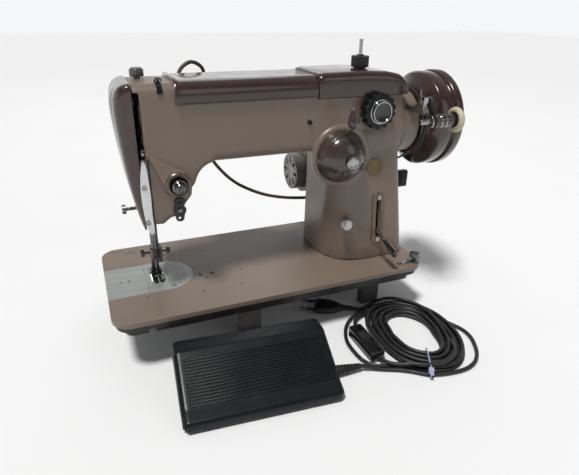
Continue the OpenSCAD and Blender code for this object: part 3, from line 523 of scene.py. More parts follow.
LEAD_D = 4.4
LIE_Z = FLOOR_Z + LEAD_D / 2 + 0.2
UP_Z = LIE_Z + LEAD_D
OVER_Z = UP_Z + LEAD_D
COIL_C = (141, -138)
COIL_STRAIGHT = 19
CHANGE = 0.12                       # share of a turn taken by a change of lane
LANES = [46.6, 41.9, 37.15, 32.4, 27.7, 23.0]
L = LIE_Z
PEDAL_A = [(52.2, -169.8, -55), (62, -173, -57.5), (75, -179, L), (88, -185, L), (101, -193, L),
           (114, -203, L),
           (127, -207, L), (141, -208.8, L), (155, -209.5, L), (168, -208, L), (180, -203, L), (190, -194, L),
           (197, -182, L), (201, -170, L), (201, -157, L), (197, -145, L), (192.4, -134, L)]
PEDAL_B = [(108, -75, L), (99, -77.5, L), (90, -82, L), (81, -89, L), (73, -98, L), (67, -108, L),
           (62, -120, L),
           (60, -133, L), (60, -145, L), (61, -156, L), (65.5, -166, L), (74, -172.5, L), (84, -176.5, L),
           (94.4, -178.8, L)]
PEDAL_C = [(104.6, -82.6, L), (96, -86, -58.5), (89, -92, -57), (84, -100, -55.8), (82, -108, -55.5)]
MAINS_A = [(78, -164, -55.5), (80, -172.5, -55), (86, -180, -54.4), (94, -186, -53), (102, -190, -51.2)]
MAINS_B = [(136, -67, -52.5), (127, -66.8, -56), (117, -68, -58.6), (107, -69.4, -58.4), (98, -68, -56)]
LAMP = [(-75, 63, 186), (-76, 63, 199), (-75, 65, 212), (-69.5, 68, 223), (-57, 72, 229), (-44.5, 77, 223),
        (-40, 82, 212), (-39.5, 87, 199), (-40, 90, 185), (-41, 91, 171), (-42, 91, 157), (-42.5, 91, 143),
        (-41.5, 91, 129), (-37.5, 91, 115), (-31, 91, 102), (-22, 91, 90), (-12, 91, 79), (0, 91, 69),
        (13, 91, 61),
        (27, 90, 54), (42, 90, 48), (57, 89, 44), (72, 88, 41), (87, 86, 39.5), (102, 83, 39),
        (117, 79, 39.5),
        (131, 73, 40.5), (145, 66, 42.5), (157, 58.5, 46.5), (167, 51, 52.5), (174, 45, 60)]


def lane(r, phase, z):
    """Point on the oval of end radius r. Phase 0 is the middle of its right side, anticlockwise."""
    f = phase % 1
    x, y = COIL_C
    s = COIL_STRAIGHT
    if f < 0.06:
        return x + r, y + s * f / 0.06, z
    if f < 0.44:
        a = PI * (f - 0.06) / 0.38
        return x + r * math.cos(a), y + s + r * math.sin(a), z
    if f < 0.56:
        return x - r, y + s - 2 * s * (f - 0.44) / 0.12, z
    if f < 0.94:
        a = PI + PI * (f - 0.56) / 0.38
        return x + r * math.cos(a), y - s + r * math.sin(a), z
    return x + r, y - s + s * (f - 0.94) / 0.06, z


def wind(keys, step=0.035):
    """Points of a winding whose radius and height pass through keys of (phase, r, z)."""
    ph = np.array([k[0] for k in keys])
    n = max(2, int((ph[-1] - ph[0]) / step))
    u = np.linspace(ph[0], ph[-1], n)
    r = np.interp(u, ph, [k[1] for k in keys])
    z = np.interp(u, ph, [k[2] for k in keys])
    for _ in range(2):
        r[1:-1] = (r[:-2] + 2 * r[1:-1] + r[2:]) / 4
        z[1:-1] = (z[:-2] + 2 * z[1:-1] + z[2:]) / 4
    return [lane(a, b, c) for a, b, c in zip(r, u, z)]


def shifts(lanes, z, start):
    """Keys for whole turns in the given lanes one after another, changing lane over a short arc."""
    out = []
    for i, r in enumerate(lanes):
        out.append((start + i + (CHANGE if i else 0), r, z))
        out.append((start + (i + 1) - 0.02, r, z))
    return out


def relaxed(points):
    """One slow wander for the whole bundle and another for its upper layer, so turns cross but never meet."""
    p = np.array(points, float)
    w = np.clip((p[:, 0] - 106) / 34, 0, 1)
    w = w * w * (3 - 2 * w)
    dx, dy = p[:, 0] - COIL_C[0], p[:, 1] - COIL_C[1]
    a = np.arctan2(dy, dx)
    up = np.clip((p[:, 2] - LIE_Z) / LEAD_D, 0, 1) * np.clip((52 - np.hypot(dx, dy)) / 14, 0, 1)
    out = up * (2.3 * np.sin(2 * a + 1.1) + 1.2 * np.sin(3 * a + 4))
    reach = np.maximum(np.hypot(dx, dy), 1)
    p[:, 0] += w * (2.0 * np.sin(2 * a + 0.6) + 1.4 * np.sin(3 * a + 2)) + out * dx / reach
    p[:, 1] += w * (1.6 * np.sin(2 * a + 2.4) - 1.0 * np.sin(4 * a)) + out * dy / reach
    return p


def cord_piece(name, path, d, material, seg=10):
    return obj(name, *sweep(path, circle(d / 2, seg)), MAT[material], 60)


def make_leads():
    first = wind([(0.05, LANES[0] + 1.2, L), (0.1, LANES[0], L), (0.285, LANES[0], L)])
    rest = wind([(0.65, LANES[0] + 1, L), (0.7, LANES[0], L), (1.0, LANES[0], L)]
                + shifts(LANES[1:3], L, 1.1) + [(3.2, LANES[2], UP_Z), (4.08, LANES[2], UP_Z)]
                + [(4.25, LANES[0] - 1.4, UP_Z), (5.2, LANES[0] - 1, UP_Z), (5.27, LANES[0], UP_Z),
                   (5.31, LANES[0] + 1.6, UP_Z - 1.5)])
    pedal = smooth_path(relaxed(PEDAL_A + first + PEDAL_B + rest + PEDAL_C))
    lead = cord_piece("pedal_lead_winding", pedal, LEAD_D, "rubber")
    place(lead, "machine", "black_rubber", "pedal_lead", "lead_coil")
    inner = wind([(0.67, 49.6, OVER_Z), (0.73, 45, OVER_Z), (0.79, 40.5, OVER_Z), (0.84, 36.5, -52),
                  (0.89, 34, -55.5),
                  (0.95, LANES[3], L)]
                 + shifts(LANES[3:6], L, 1.0) + [(4.1, LANES[5] + 1.5, UP_Z), (4.95, LANES[5] + 1.5, UP_Z)]
                 + [(5.1, LANES[4] + 3, UP_Z), (5.9, LANES[4] + 3, UP_Z), (6.02, LANES[3] + 0.5, -54),
                    (6.08, 36.5, -51), (6.14, 41, OVER_Z), (6.19, 46, OVER_Z), (6.23, 50, -51.2)])
    mains = smooth_path(relaxed(MAINS_A + inner + MAINS_B))
    mlead = cord_piece("mains_lead_winding", mains, LEAD_D, "rubber")
    place(mlead, "machine", "black_rubber", "mains_lead")
    lamp = smooth_path(LAMP, 3.5)
    lcord = cord_piece("lamp_flex", lamp, LEAD_D, "cord", 12)
    place(lcord, "machine", "brown_cord", "lamp_cord")
    return (lead, pedal), (mlead, mains), (lcord, lamp)


# ---------- solids from distance fields ----------

def sd_polygon(u, v, pts):
    best = np.full(u.shape, 1e9)
    inside = np.zeros(u.shape, bool)
    for (ax, ay), (bx, by) in zip(pts, pts[1:] + pts[:1]):
        ex, ey = bx - ax, by - ay
        wx, wy = u - ax, v - ay
        t = np.clip((wx * ex + wy * ey) / (ex * ex + ey * ey), 0, 1)
        best = np.minimum(best, np.hypot(wx - ex * t, wy - ey * t))
        if ey:
            inside ^= ((ay > v) != (by > v)) & (u < ex * (v - ay) / ey + ax)
    return np.where(inside, -best, best)


def sd_rect(u, v, hu, hv, r):
    qu, qv = np.abs(u) - hu + r, np.abs(v) - hv + r
    return np.hypot(np.maximum(qu, 0), np.maximum(qv, 0)) + np.minimum(np.maximum(qu, qv), 0) - r


def extrude(d, w, r):
    d, w = d + r, w + r
    return np.minimum(np.maximum(d, w), 0) + np.hypot(np.maximum(d, 0), np.maximum(w, 0)) - r


def sd_box(x, y, z, lo, hi, r=0.0):
    q = [np.abs(c - (a + b) / 2) - (b - a) / 2 + r for c, a, b in zip((x, y, z), lo, hi)]
    out = np.sqrt(sum(np.maximum(c, 0) ** 2 for c in q))
    return out + np.minimum(np.maximum.reduce(q), 0) - r


def join(a, b, k=0.01):
    h = np.clip(0.5 + 0.5 * (b - a) / k, 0, 1)
    return b * (1 - h) + a * h - k * h * (1 - h)


def cut(a, b, k=0.8):
    return -join(-a, b, k)


def surface_nets(f, lo, hi, h):
    """Quads on the zero surface of f(x, y, z), then each point moved exactly onto it."""
    axes = [np.arange(a - h, b + 2 * h, h) for a, b in zip(lo, hi)]
    gx, gy, gz = np.meshgrid(*axes, indexing="ij")
    d = f(gx, gy, gz)
    neg = d < 0
    shape = tuple(n - 1 for n in d.shape)
    total = np.zeros(shape + (3,))
    count = np.zeros(shape)
    for axis in range(3):
        s0, s1 = [slice(None)] * 3, [slice(None)] * 3
        s0[axis], s1[axis] = slice(0, -1), slice(1, None)
        a, b = d[tuple(s0)], d[tuple(s1)]
        cross = neg[tuple(s0)] != neg[tuple(s1)]
        t = np.where(cross, a / np.where(cross, a - b, 1), 0)
        p, q = [k for k in range(3) if k != axis]
        for i in (0, 1):
            for j in (0, 1):
                s = [slice(None)] * 3
                s[p] = slice(i, i + shape[p])
                s[q] = slice(j, j + shape[q])
                c, tt = cross[tuple(s)], t[tuple(s)]
                count += c
                total[..., axis] += tt
                total[..., p] += c * i
                total[..., q] += c * j
    used = count > 0
    idx = np.full(shape, -1)
    idx[used] = np.arange(used.sum())
    verts = (total[used] / count[used][:, None] + np.argwhere(used)) * h + np.array([a[0] for a in axes])
    faces = []
    for axis in range(3):
        p, q = [(1, 2), (2, 0), (0, 1)][axis]
        s0, s1 = [slice(None)] * 3, [slice(None)] * 3
        s0[axis], s1[axis] = slice(0, -1), slice(1, None)
        c = np.argwhere(neg[tuple(s0)] != neg[tuple(s1)])
        c = c[(c[:, p] > 0) & (c[:, q] > 0)]
        ep, eq = np.zeros(3, int), np.zeros(3, int)
        ep[p], eq[q] = 1, 1
        quad = np.stack([idx[tuple((c - ep - eq).T)], idx[tuple((c - eq).T)], idx[tuple(c.T)],
                         idx[tuple((c - ep).T)]], 1)
        flip = ~neg[tuple(c.T)]
        quad[flip] = quad[flip][:, ::-1]
        faces.append(quad)
    for _ in range(3):
        x, y, z = verts.T
        e = 0.05
        v = f(x, y, z)
        g = np.stack([f(x + e, y, z) - v, f(x, y + e, z) - v, f(x, y, z + e) - v], 1) / e
        step = v[:, None] * g / np.maximum((g * g).sum(1), 0.3)[:, None]
        verts = verts - np.clip(step, -0.4 * h, 0.4 * h)
    return verts, np.concatenate(faces)


def cast(name, f, lo, hi, h, material, smooth=50):
    verts, faces = surface_nets(f, lo, hi, h)
    return obj(name, verts, faces, material, smooth)


# ---------- arm and pillar ----------

HEAD_X, ARM_END, ARM_HALF = -136.5, 163, 36
ARM_LOW, ARM_TOP, WALL = 140, 221, 5
PILLAR_L, PILLAR_TOP, PILLAR_FRONT = 75, 156, 48
SHAFT_Z, BOSS_R, BOSS_END = 162, 38, 189
DOME, DOME_R = (84, 134.5), 32
KNOB = (125.5, 184)
DIAL = (-102, 123.6)
FRONT_TILT = math.atan((PILLAR_FRONT - ARM_HALF + 0.5) / PILLAR_TOP)
HEAD_OUTLINE = [(HEAD_X, 84), (-131, 79.5), (-118.5, 79), (-110.5, 85), (-97, 87), (-95, 98), (-87, 107.5),
                (-86, 116),
                (-60, 140), (-60, 200), (HEAD_X, 200)]


def on_front(x, z, out=0.0):
    """Matrix on the pillar's sloping front. Local X is +X, local Y up the slope and local Z outwards."""
    y = -PILLAR_FRONT + z * math.tan(FRONT_TILT)
    m = Matrix.Rotation(PI / 2 - FRONT_TILT, 4, "X")
    m.translation = (x, y, z)
    return m @ Matrix.Translation((0, 0, out))


def section(y, z, inset):
    return sd_rect(y, z - (ARM_LOW + ARM_TOP) / 2, ARM_HALF - inset, (ARM_TOP - ARM_LOW) / 2 - inset,
                   12 - inset)


def pillar_field(x, y, z, inset):
    t = np.clip(z / PILLAR_TOP, 0, 1)
    x0, x1 = PILLAR_L + inset, 180 - 17 * t - inset
    y0, y1 = -PILLAR_FRONT + 12.5 * t + inset, 41 - 5.5 * t - inset
    cx, cy = (x0 + x1) / 2, (y0 + y1) / 2
    r = np.where(y < cy, np.where(x < cx, 44 - 36 * t, 12 - 4 * t), np.where(x < cx, 6, 8)) - min(inset, 2)
    flat = sd_rect(x - cx, y - cy, (x1 - x0) / 2, (y1 - y0) / 2, r)
    return extrude(flat, np.abs(z - PILLAR_TOP / 2) - PILLAR_TOP / 2, 0.4)


def arm_field(x, y, z):
    half = (ARM_END - HEAD_X) / 2
    mid = (ARM_END + HEAD_X) / 2
    shape = extrude(section(y, z, 0), np.abs(x - mid) - half, 1.5)
    head = sd_polygon(x, z, HEAD_OUTLINE)
    head = cut(head, np.hypot(x + 58, z - 117) - 24, 3)
    shape = np.minimum(shape, extrude(head, np.abs(y) - ARM_HALF, 5))
    shape = join(shape, pillar_field(x, y, z, 0), 9)
    boss = extrude(np.hypot(y, z - SHAFT_Z) - BOSS_R, np.abs(x - 164.5) - 24.5, 2.5)
    shape = join(shape, boss, 9)
    plate = extrude(np.hypot(x - DOME[0], z - DOME[1]) - 35, np.abs(y + 36) - 4, 1.6)
    shape = join(shape, plate, 4)
    dial = extrude(np.hypot(x - DIAL[0], z - DIAL[1]) - 14, np.abs(y + 37) - 4, 1.5)
    lug = extrude(sd_polygon(x, z, [(-129, 154), (-122, 152), (-91, 131), (-96, 113), (-114, 119)]),
                  np.abs(y + 35.4) - 4, 1.6)
    shape = join(shape, join(dial, lug, 1.5), 1.2)
    # the hollows of the arm, the head, the pillar and the shaft's boss
    shape = cut(shape, np.maximum(section(y, z, WALL),
                                  np.abs(x - (ARM_END - WALL + HEAD_X - 1) / 2) - 147.75))
    shape = cut(shape, sd_box(x, y, z, (-140, -31, 99), (-100, 31, 160), 2))
    shape = cut(shape, sd_box(x, y, z, (-140, -31, 107), (-94, 31, 160), 2))
    shape = cut(shape, np.maximum(pillar_field(x, y, z, WALL), 6 - z))
    shape = cut(shape, np.maximum(np.hypot(y, z - SHAFT_Z) - BOSS_R + 8, np.abs(x - 133) - 33))
    # the openings: guard plate, needle bar, presser bar, lid, top cover and stitch lever
    shape = cut(shape, sd_box(x, y, z, (-139, -40, 150), (-130.5, -28, 214)), 0.3)
    shape = cut(shape, sd_box(x, y, z, (-139, -9, 70), (-117, 8.5, 100)), 0.3)
    shape = cut(shape, np.maximum(np.hypot(x + 125, y - 13) - 6, z - 101), 0.3)
    shape = cut(shape, sd_box(x, y, z, (54.1, -60, 199.5), (168.6, 60, 240)), 0.5)
    shape = cut(shape, sd_box(x, y, z, (-88, -20, 212), (54, 20, 240), 1), 0.5)
    shape = cut(shape, sd_box(x, y, z, (135.5, -60, 28.5), (140.5, -32, 75.5)), 0.3)
    return np.maximum(shape, 0.02 - z)


def arm_piece():
    o = cast("arm_casting_finished", arm_field, (HEAD_X, -49, 0), (BOSS_END, 42, ARM_TOP), 2.1, MAT["taupe"])
    place(o, "machine", "taupe_enamel", "arm_casting")


# ---------- covers ----------

def over_top(inset, low, n=7):
    """Open outline in (y, z) of the arm's top half, moved in by inset, from front to back."""
    y, top, r = ARM_HALF - inset, ARM_TOP - inset, 12 - inset
    return ([(-y, low)] + arc(-y + r, top - r, r, 180, 90, n) + arc(y - r, top - r, r, 90, 0, n) + [(y, low)])


def cover_piece():
    outer, inner = over_top(-2.2, 201), over_top(-0.25, 201)
    wide, wide_in = over_top(-3.3, 200.4), over_top(-0.25, 200.4)
    lip = over_top(-3.6, 200.4)
    rows = [(-96.8, wide, wide_in), (-96.4, lip, wide_in), (-93.6, lip, wide_in),
            (-92.4, over_top(-3.1, 200.8), inner),
            (-90.8, outer, inner), (52.6, outer, inner), (53.7, over_top(-1.7, 201), inner)]
    b = Build("arm_top_cover_finished")
    b.add(shell_rows(rows), "brown")
    for y in (-1, 1):
        bead = [(x, y * 38.3, 202.2) for x in np.linspace(-93, 53, 12)]
        b.add(sweep(bead, circle(0.75, 8)), "brown")
    place(b.done(45), "machine", "brown_enamel", "arm_top_cover")


def shell_rows(rows):
    """A skin between outer and inner outlines at several x, closed all round."""
    verts = [(x, y, z) for x, outer, inner in rows for y, z in outer + inner[::-1]]
    k = len(verts) // len(rows)
    faces = walls(len(rows), k)
    for base, turn in ((0, 1), (len(verts) - k, -1)):
        for i in range(k // 2 - 1):
            q = (base + i, base + k - 1 - i, base + k - 2 - i, base + i + 1)
            faces.append(q[::turn])
    return verts, faces


LID_X = (54.5, 168)


def lid_top(x):
    at = [54.5, 59.5, 110, 140, 156, 163, 168]
    return float(np.interp(x, at, [223, 225.5, 226, 224.6, 221.5, 217.8, 212]))


def lid_outline(y, top, edge, r=9):
    """Open outline in (y, z), 4 mm lower in front than at the hinge behind."""
    return ([(-y, 200 + edge)] + arc(-y + r, top - r, r, 180, 90, 7) + arc(y - r, top - r, r, 90, 0, 7)
            + [(y, 204)])


def lid_piece():
    b = Build("spool_lid_finished")
    rows = []
    for x in [54.5, 55, 56, 58, 62, 72, 84, 96, 110, 125, 140, 150, 156, 160, 163.5, 166, 167.5, 168]:
        edge = 1.6 if x in LID_X else (0.7 if x in (55, 167.5) else 0)
        top, y = lid_top(x) - edge, 38.4 - edge
        rows.append((x, lid_outline(y, top, edge), lid_outline(y - 2.1, top - 2.2, edge)))
    b.add(shell_rows(rows), "brown")
    for x in (54.6, 165.8):
        t = lid_top(x + 1.1) - 1.4
        end = [(-36.6, 200.2), (36.6, 204), (36.6, t - 8)]
        end += arc(28.6, t - 8, 8, 0, 90, 5) + arc(-28.6, t - 8, 8, 90, 180, 5)
        b.add(prism(end, 0, 2), "brown", along(x, 0, 0))
    b.add(lathe(soft([(0, 0), (7.5, 0), (7.5, 1.2), (5, 2), (0, 2)])), "brown",
          Matrix.Translation((120, -5, 225.6)))
    b.add(lathe([(0, 0), (2.6, 0), (2.6, 40), (0, 40)], 24), "brown", frame_at((90, 40.6, 203.5), (1, 0, 0)))
    place(b.done(45), "lid", "brown_enamel", "spool_lid")


# ---------- controls ----------

def dome_piece():
    m = front(DOME[0], -DOME_R, DOME[1])
    b = Build("width_dome_finished")
    prof = [(4.4, 28), (4.4, 31.6)]
    for i in range(1, 46):
        r = 4.4 + (31.2 - 4.4) * i / 45
        h = math.sqrt(DOME_R ** 2 - r * r)
        groove = 0.5 if any(abs(r - g) < 0.4 for g in (25.3, 28.3)) else 0
        prof.append((r, h - groove))
    prof += [(31.5, 8), (31.5, 6.8), (33.4, 6.4), (33.8, 5.6), (33.8, 4.02)]
    b.add(lathe(prof, 96), "umber", m)
    # A near-black strip of faces just above the dome, between the two grooves, stands in for the lever's
    # slot: painted shade in place of an opening.
    verts = []
    for r, turn in ((28.9, 1), (26.1, -1)):
        h = math.sqrt(DOME_R ** 2 - r * r) + 0.12
        verts += [(r * math.cos(a), r * math.sin(a), h) for a in np.radians(np.linspace(50, 130, 25)[::turn])]
    n = len(verts) // 2
    b.add((verts, [(i, i + 1, 2 * n - 2 - i, 2 * n - 1 - i) for i in range(n - 1)]), "dark", m)
    place(b.done(60), "machine", "brown_enamel", "width_dome")
    c = Build("width_lever_finished")
    c.add(lathe(soft([(4, -14), (4, 34), (7, 34.6), (7.2, 36.4), (5.4, 37.2), (4.6, 36.4), (0, 36.2)], 0.5),
                48), "chrome", m)
    neck = smooth_path([(DOME[0], -48, 161.4), (DOME[0], -51.5, 163), (DOME[0], -57, 166),
                        (DOME[0], -61.4, 170), (DOME[0], -63, 174)], 1)
    c.add(sweep(neck, circle(1.9, 14)), "umber")
    drop = [(0, -6.6), (3.4, -6.0), (5.6, -3.8), (6.6, -0.6), (6.4, 2.4), (5.2, 6.4), (3.7, 10), (2.6, 13.4),
            (1.2, 15.4), (0, 15.8)]
    lean = Matrix.Translation((DOME[0], -63.5, DOME[1] + 43)) @ Matrix.Rotation(math.radians(-8), 4, "X")
    c.add(lathe(soft(drop, 1.4, 3), 36), "umber", lean)
    place(c.done(55), "width_lever", "brown_enamel", "width_lever")


def knob_piece():
    b = Build("pattern_knob_finished")
    m = front(KNOB[0], -ARM_HALF, KNOB[1])
    b.add(prism(lobed(20.3, 14, 2.6, 10, 2.2), 2.8, 13, 1.3, 3), "plastic", m)
    b.add(lathe(soft([(13.8, 12.8), (13.6, 14.4), (12.4, 14.6), (12.2, 18.2), (11.2, 18.5), (10.4, 18.2),
                      (10.0, 16.4)], 0.3), 64), "chrome", m)
    b.add(lathe([(10.2, 16.6), (7, 16.0), (3, 15.7), (0, 15.6)], 48), "gloss", m)
    b.add(lathe([(0, -12), (3, -12), (3, 4), (0, 4)], 24), "steel", m)
    place(b.done(50), "pattern_knob", "black_gloss", "pattern_knob")


def dial_pieces():
    m = front(DIAL[0], -ARM_HALF, DIAL[1])
    b = Build("tension_dial_finished")
    b.add(lathe(soft([(3, 5), (13, 5), (13, 7.2), (11.4, 9), (3, 9)], 0.6), 64), "bronze", m)
    for k in range(20):
        a = math.radians(150 + k * 12)
        b.add(cuboid((10.4, -0.2, 8.6), (12.2, 0.2, 9.05)), "steel", m @ Matrix.Rotation(a, 4, "Z"))
    place(b.done(50), "machine", "black_plastic", "tension_dial")
    d = Build("tension_discs_finished")
    for h in (9.2, 11.2):
        d.add(lathe([(3, h), (6, h), (8.6, h + 0.5), (9.7, h + 1.5), (9.9, h + 1.4), (8.8, h + 0.1),
                     (6, h - 0.5), (3, h - 0.5)], 64), "smoked", m)
    d.add(lathe([(0, -11), (3, -11), (3, 18), (0, 18)], 24), "steel", m)
    d.add(lathe(soft([(3, 12.6), (7.6, 12.6), (7.2, 15), (3, 15)]), 40), "chrome", m)
    place(d.done(50), "machine", "plated", "tension_discs")
    n = Build("tension_nut_finished")
    n.add(lathe(soft([(3.1, 15.2), (6.6, 15.2), (6.8, 17), (5.7, 18), (5.9, 19), (5.6, 21.2), (4.4, 22.6),
                      (3.2, 22.9), (2.6, 22.2), (1.6, 22.2), (1.2, 23.6), (0, 23.8)], 0.35), 48, lambda r, h,
                a: r + (0.22 * math.cos(24 * a) if 6.5 < r else 0)), "smoked", m)
    place(n.done(50), "tension_nut", "plated", "tension_nut")


def escutcheon_piece():
    m = on_front(138, 52)
    b = Build("stitch_escutcheon_finished")
    outer, inner = rounded(16.5, 66, 7.5, 6), rounded(6.2, 48, 2.6, 6)
    top = [(x * 0.93, y * 0.985) for x, y in outer]
    rings = [(outer, 0), (outer, 1.1), (top, 1.7), (inner, 1.7), (inner, 0)]
    verts = [(x, y, h) for pts, h in rings for x, y in pts]
    b.add((verts, walls(len(rings), len(outer))), "bronze", m)
    place(b.done(40), "machine", "black_gloss", "stitch_escutcheon")


# ---------- foot control ----------

PEDAL_POS, PEDAL_TURN = (-141, -190, FLOOR_Z), -5
PEDAL_W, PEDAL_D, FRONT_H, BACK_H = 158, 86, 13, 45
IN_PEDAL = Matrix.Translation(PEDAL_POS) @ Matrix.Rotation(math.radians(PEDAL_TURN), 4, "Z")
TREAD_SIDE = [(0, 3), (0, FRONT_H - 3), (2, FRONT_H), (14, 17.5), (58, 41.5), (64, BACK_H), (82, BACK_H),
              (86, 41), (86, 17)]


def tread_field(x, y, z):
    shell = extrude(sd_polygon(y, z, TREAD_SIDE) + 2.2, np.abs(x - PEDAL_W / 2) - PEDAL_W / 2 + 2.2,
                    4.2) - 2.2
    hollow = [(2.5, -9), (2.5, 9.2), (4.5, 10.6), (14, 15), (58, 39), (64, 42.4), (81, 42.4), (83.4, 40),
              (83.4, -9)]
    shell = cut(shell, extrude(sd_polygon(y, z, hollow), np.abs(x - PEDAL_W / 2) - PEDAL_W / 2 + 2.5, 1), 0.3)
    return cut(shell, sd_box(x, y, z, (PEDAL_W - 10, 30, -5), (PEDAL_W + 10, 44, 20), 1), 0.3)


def tread_piece():
    verts, faces = surface_nets(tread_field, (0, 0, 2), (PEDAL_W, PEDAL_D, BACK_H), 1.25)
    b = Build("pedal_tread_finished")
    b.add((verts, [tuple(f) for f in faces]), "plastic", IN_PEDAL)
    slope = math.atan2(24, 44)
    for i in range(15):
        y = 15.5 + i * 2.85
        z = 17.5 + (y - 14) * 24 / 44
        rib = prism(rounded(PEDAL_W - 17, 1.5, 0.7, 3), -0.4, 1.0, 0.4, 2)
        b.add(move(rib, Matrix.Translation((PEDAL_W / 2, y, z)) @ Matrix.Rotation(slope, 4, "X")), "plastic",
              IN_PEDAL)
    place(b.done(50), "tread", "black_plastic", "pedal_tread")


def gland_piece():
    b = Build("pedal_gland_finished")
    prof = [(0, 0), (6.8, 0), (6.8, 2)]
    for i in range(9):
        r = 6.4 - 0.38 * i
        h = 3 + 3.6 * i
        prof += [(r - 1.1, h - 0.7), (r, h), (r - 0.1, h + 2.0), (r - 1.2, h + 2.6)]
    prof += [(2.9, 35.4), (2.2, 36)]
    start = IN_PEDAL @ Vector((PEDAL_W - 3.4, 37, 7))
    end = Vector(PEDAL_A[0])
    b.add(lathe(prof, 36), "rubber", frame_at(start, end - start))
    place(b.done(40), "machine", "black_rubber", "pedal_gland")


# ---------- winder, guides and plate ----------

WINDER, PIVOT = (-75, 175), (-58, 194)


def winder_pieces():
    b = Build("winder_arm_finished")
    m = along(178.6, *WINDER)
    b.add(lathe(soft([(3.1, 0), (6.4, 0), (6.8, 1), (6.8, 4.4), (7.5, 5.2), (7.5, 23), (6.9, 24), (3.1, 24)],
                     0.5), 48), "umber", m)
    for h in (5.6, 12.4):
        b.add(lathe(soft([(7.3, h), (7.9, h + 0.2), (7.9, h + 1.5), (7.3, h + 1.7)], 0.2), 48), "chrome", m)
    b.add(lathe(soft([(0, 0), (2.4, 0), (2.4, 13), (5, 13.2), (5, 15.8), (3.4, 16.6), (0, 16.6)], 0.3), 32),
          "chrome", along(168.4, *PIVOT))
    web = [(-78.5, 176), (-75, 171.5), (-71, 172.5), (-55, 189), (-53.6, 194), (-56, 198.2), (-61, 198),
           (-72, 184)]
    b.add(prism(web, 0, 4, 0.7), "black", along(180, 0, 0))
    blade = [(-61, 191), (-55, 191), (-54.6, 199), (-53, 207), (-55.6, 210), (-58, 207), (-60, 199)]
    b.add(prism(blade, 0, 2.2, 0.5), "chrome", along(168.6, 0, 0))
    b.add(prism([(-62, 190), (-58, 189), (-66, 178.6), (-70, 180.4)], 0, 1.4, 0.3), "chrome",
          along(176.6, 0, 0))
    place(b.done(45), "winder_arm", "plated", "winder_arm")
    s = Build("winder_spindle_finished")
    s.add(lathe(soft([(0, 0), (2.4, 0), (3, 0.8), (3, 54), (0, 54)], 0.3), 28), "chrome", along(160, *WINDER))
    s.add(lathe(soft([(3, 0), (7, 0), (7, 2), (3, 2)], 0.4), 40), "chrome", along(173, *WINDER))
    s.add(lathe(soft([(3, 0), (9.4, 0), (9.6, 1), (8, 4.6), (4, 5.2), (3, 5.2)], 0.6), 48), "black",
          along(206, *WINDER))
    ring = [(10.5 + 3.6 * math.cos(a) * (1.0 if math.cos(a) > 0 else 0.8),
             3.6 * math.sin(a)) for a in np.linspace(0, 2 * PI, 21)]
    s.add(lathe(ring, 64), "cream", along(208.5, *WINDER))
    place(s.done(50), "winder_spindle", "cream_rubber", "winder_spindle")


def guide_field(x, y, z):
    d = join(join(np.hypot(x + 101, z - 103) - 5.4, np.hypot(x + 101.5, z - 94) - 6.6, 4),
             np.hypot(x + 102, z - 86) - 4.6, 3)
    d = extrude(d, np.abs(y + 37.35) - 1.3, 0.8)
    for cx, cz, r in ((-101.6, 104, 1.6), (-102.4, 85.4, 1.5), (-95.6, 99, 2.2)):
        d = cut(d, np.hypot(x - cx, z - cz) - r, 0.5)
    return d


def guide_piece():
    verts, faces = surface_nets(guide_field, (-109, -38.7, 80), (-94, -36, 109.4), 0.55)
    b = Build("thread_guides_finished")
    b.add((verts, [tuple(f) for f in faces]), "black")
    b.add(lathe(soft([(0, 0), (3, 0), (3, 1), (2.2, 1.7), (0, 1.7)], 0.4), 32), "smoked",
          front(-101.5, -38.6, 94.2))
    rows = [(x, over_strap(-2.3), over_strap(-0.15)) for x in (-113.5, -108.5)]
    b.add(shell_rows(rows), "smoked")
    for x, y in ((-112.4, -30.5), (-109.4, -27.6), (-111.2, -24.4)):
        loop = [(x + 2.1 * math.cos(a), y - 0.9 * a / 2,
                 223.4 + 2.2 * math.sin(a)) for a in np.linspace(-0.4, 4.4, 14)]
        b.add(sweep(loop, circle(0.6, 8)), "black")
    place(b.done(45), "machine", "black_steel", "thread_guides")


def over_strap(inset):
    y, top, r = ARM_HALF - inset, ARM_TOP - inset, 12 - inset
    return arc(-y + r, top - r, r, 164, 90, 7) + [(-20.5, top)]


def plate_lines():
    b = Build("needle_plate_lines")
    for k in range(8):
        x = -116.6 + k * 2.75
        half = math.sqrt(max(34.2 ** 2 - (x + 121.7) ** 2, 0)) - 3
        lo, hi = -half, min(half, 25)
        b.add(cuboid((x - 0.22, lo + (6 if k % 2 else 0), -0.02), (x + 0.22, hi, 0.035)), "dark")
    place(b.done(30), "machine", "bright_steel")


LEVER_PIVOT = (138, -22, 44)


def lever_end():
    """The stitch lever's grip over the CAD's own bar."""
    tilt = Matrix.Translation(LEVER_PIVOT) @ Matrix.Rotation(math.radians(18), 4, "X")
    b = Build("stitch_lever_finished")
    b.add(lathe(soft([(0, -5), (5, -5), (5, 5), (0, 5)], 0.4), 32), "steel", along(*LEVER_PIVOT))
    b.add(cuboid((-1.5, -46, -1.4), (1.5, 0, 1.4), 0.4), "chrome", tilt)
    grip = soft([(0, 0), (2.5, 0), (2.8, 2), (3.2, 12), (3.9, 24), (3.6, 27.4), (0, 28)], 0.9, 4)
    b.add(lathe(grip, 32), "gloss", tilt @ Matrix.Translation((0, -44, 0)) @ Matrix.Rotation(PI / 2, 4, "X"))
    place(b.done(45), "stitch_lever", "plated", "stitch_lever")


# ---------- head cover, plug and small fittings ----------

FACE_EDGE = [(-136.5, 222), (-142.6, 221.2), (-149.5, 217.2), (-154.6, 209.4), (-156.8, 199), (-156.5, 187),
             (-155, 174), (-152.4, 152), (-149.1, 127), (-144.8, 102), (-140.6, 82), (-138.2, 74),
             (-136.5, 70)]


def face_side(x, z, wide=-120):
    edge = [tuple(p) for p in smooth_path(FACE_EDGE, 3)]
    return sd_polygon(x, z, edge + [(wide, 70), (wide, 222)])


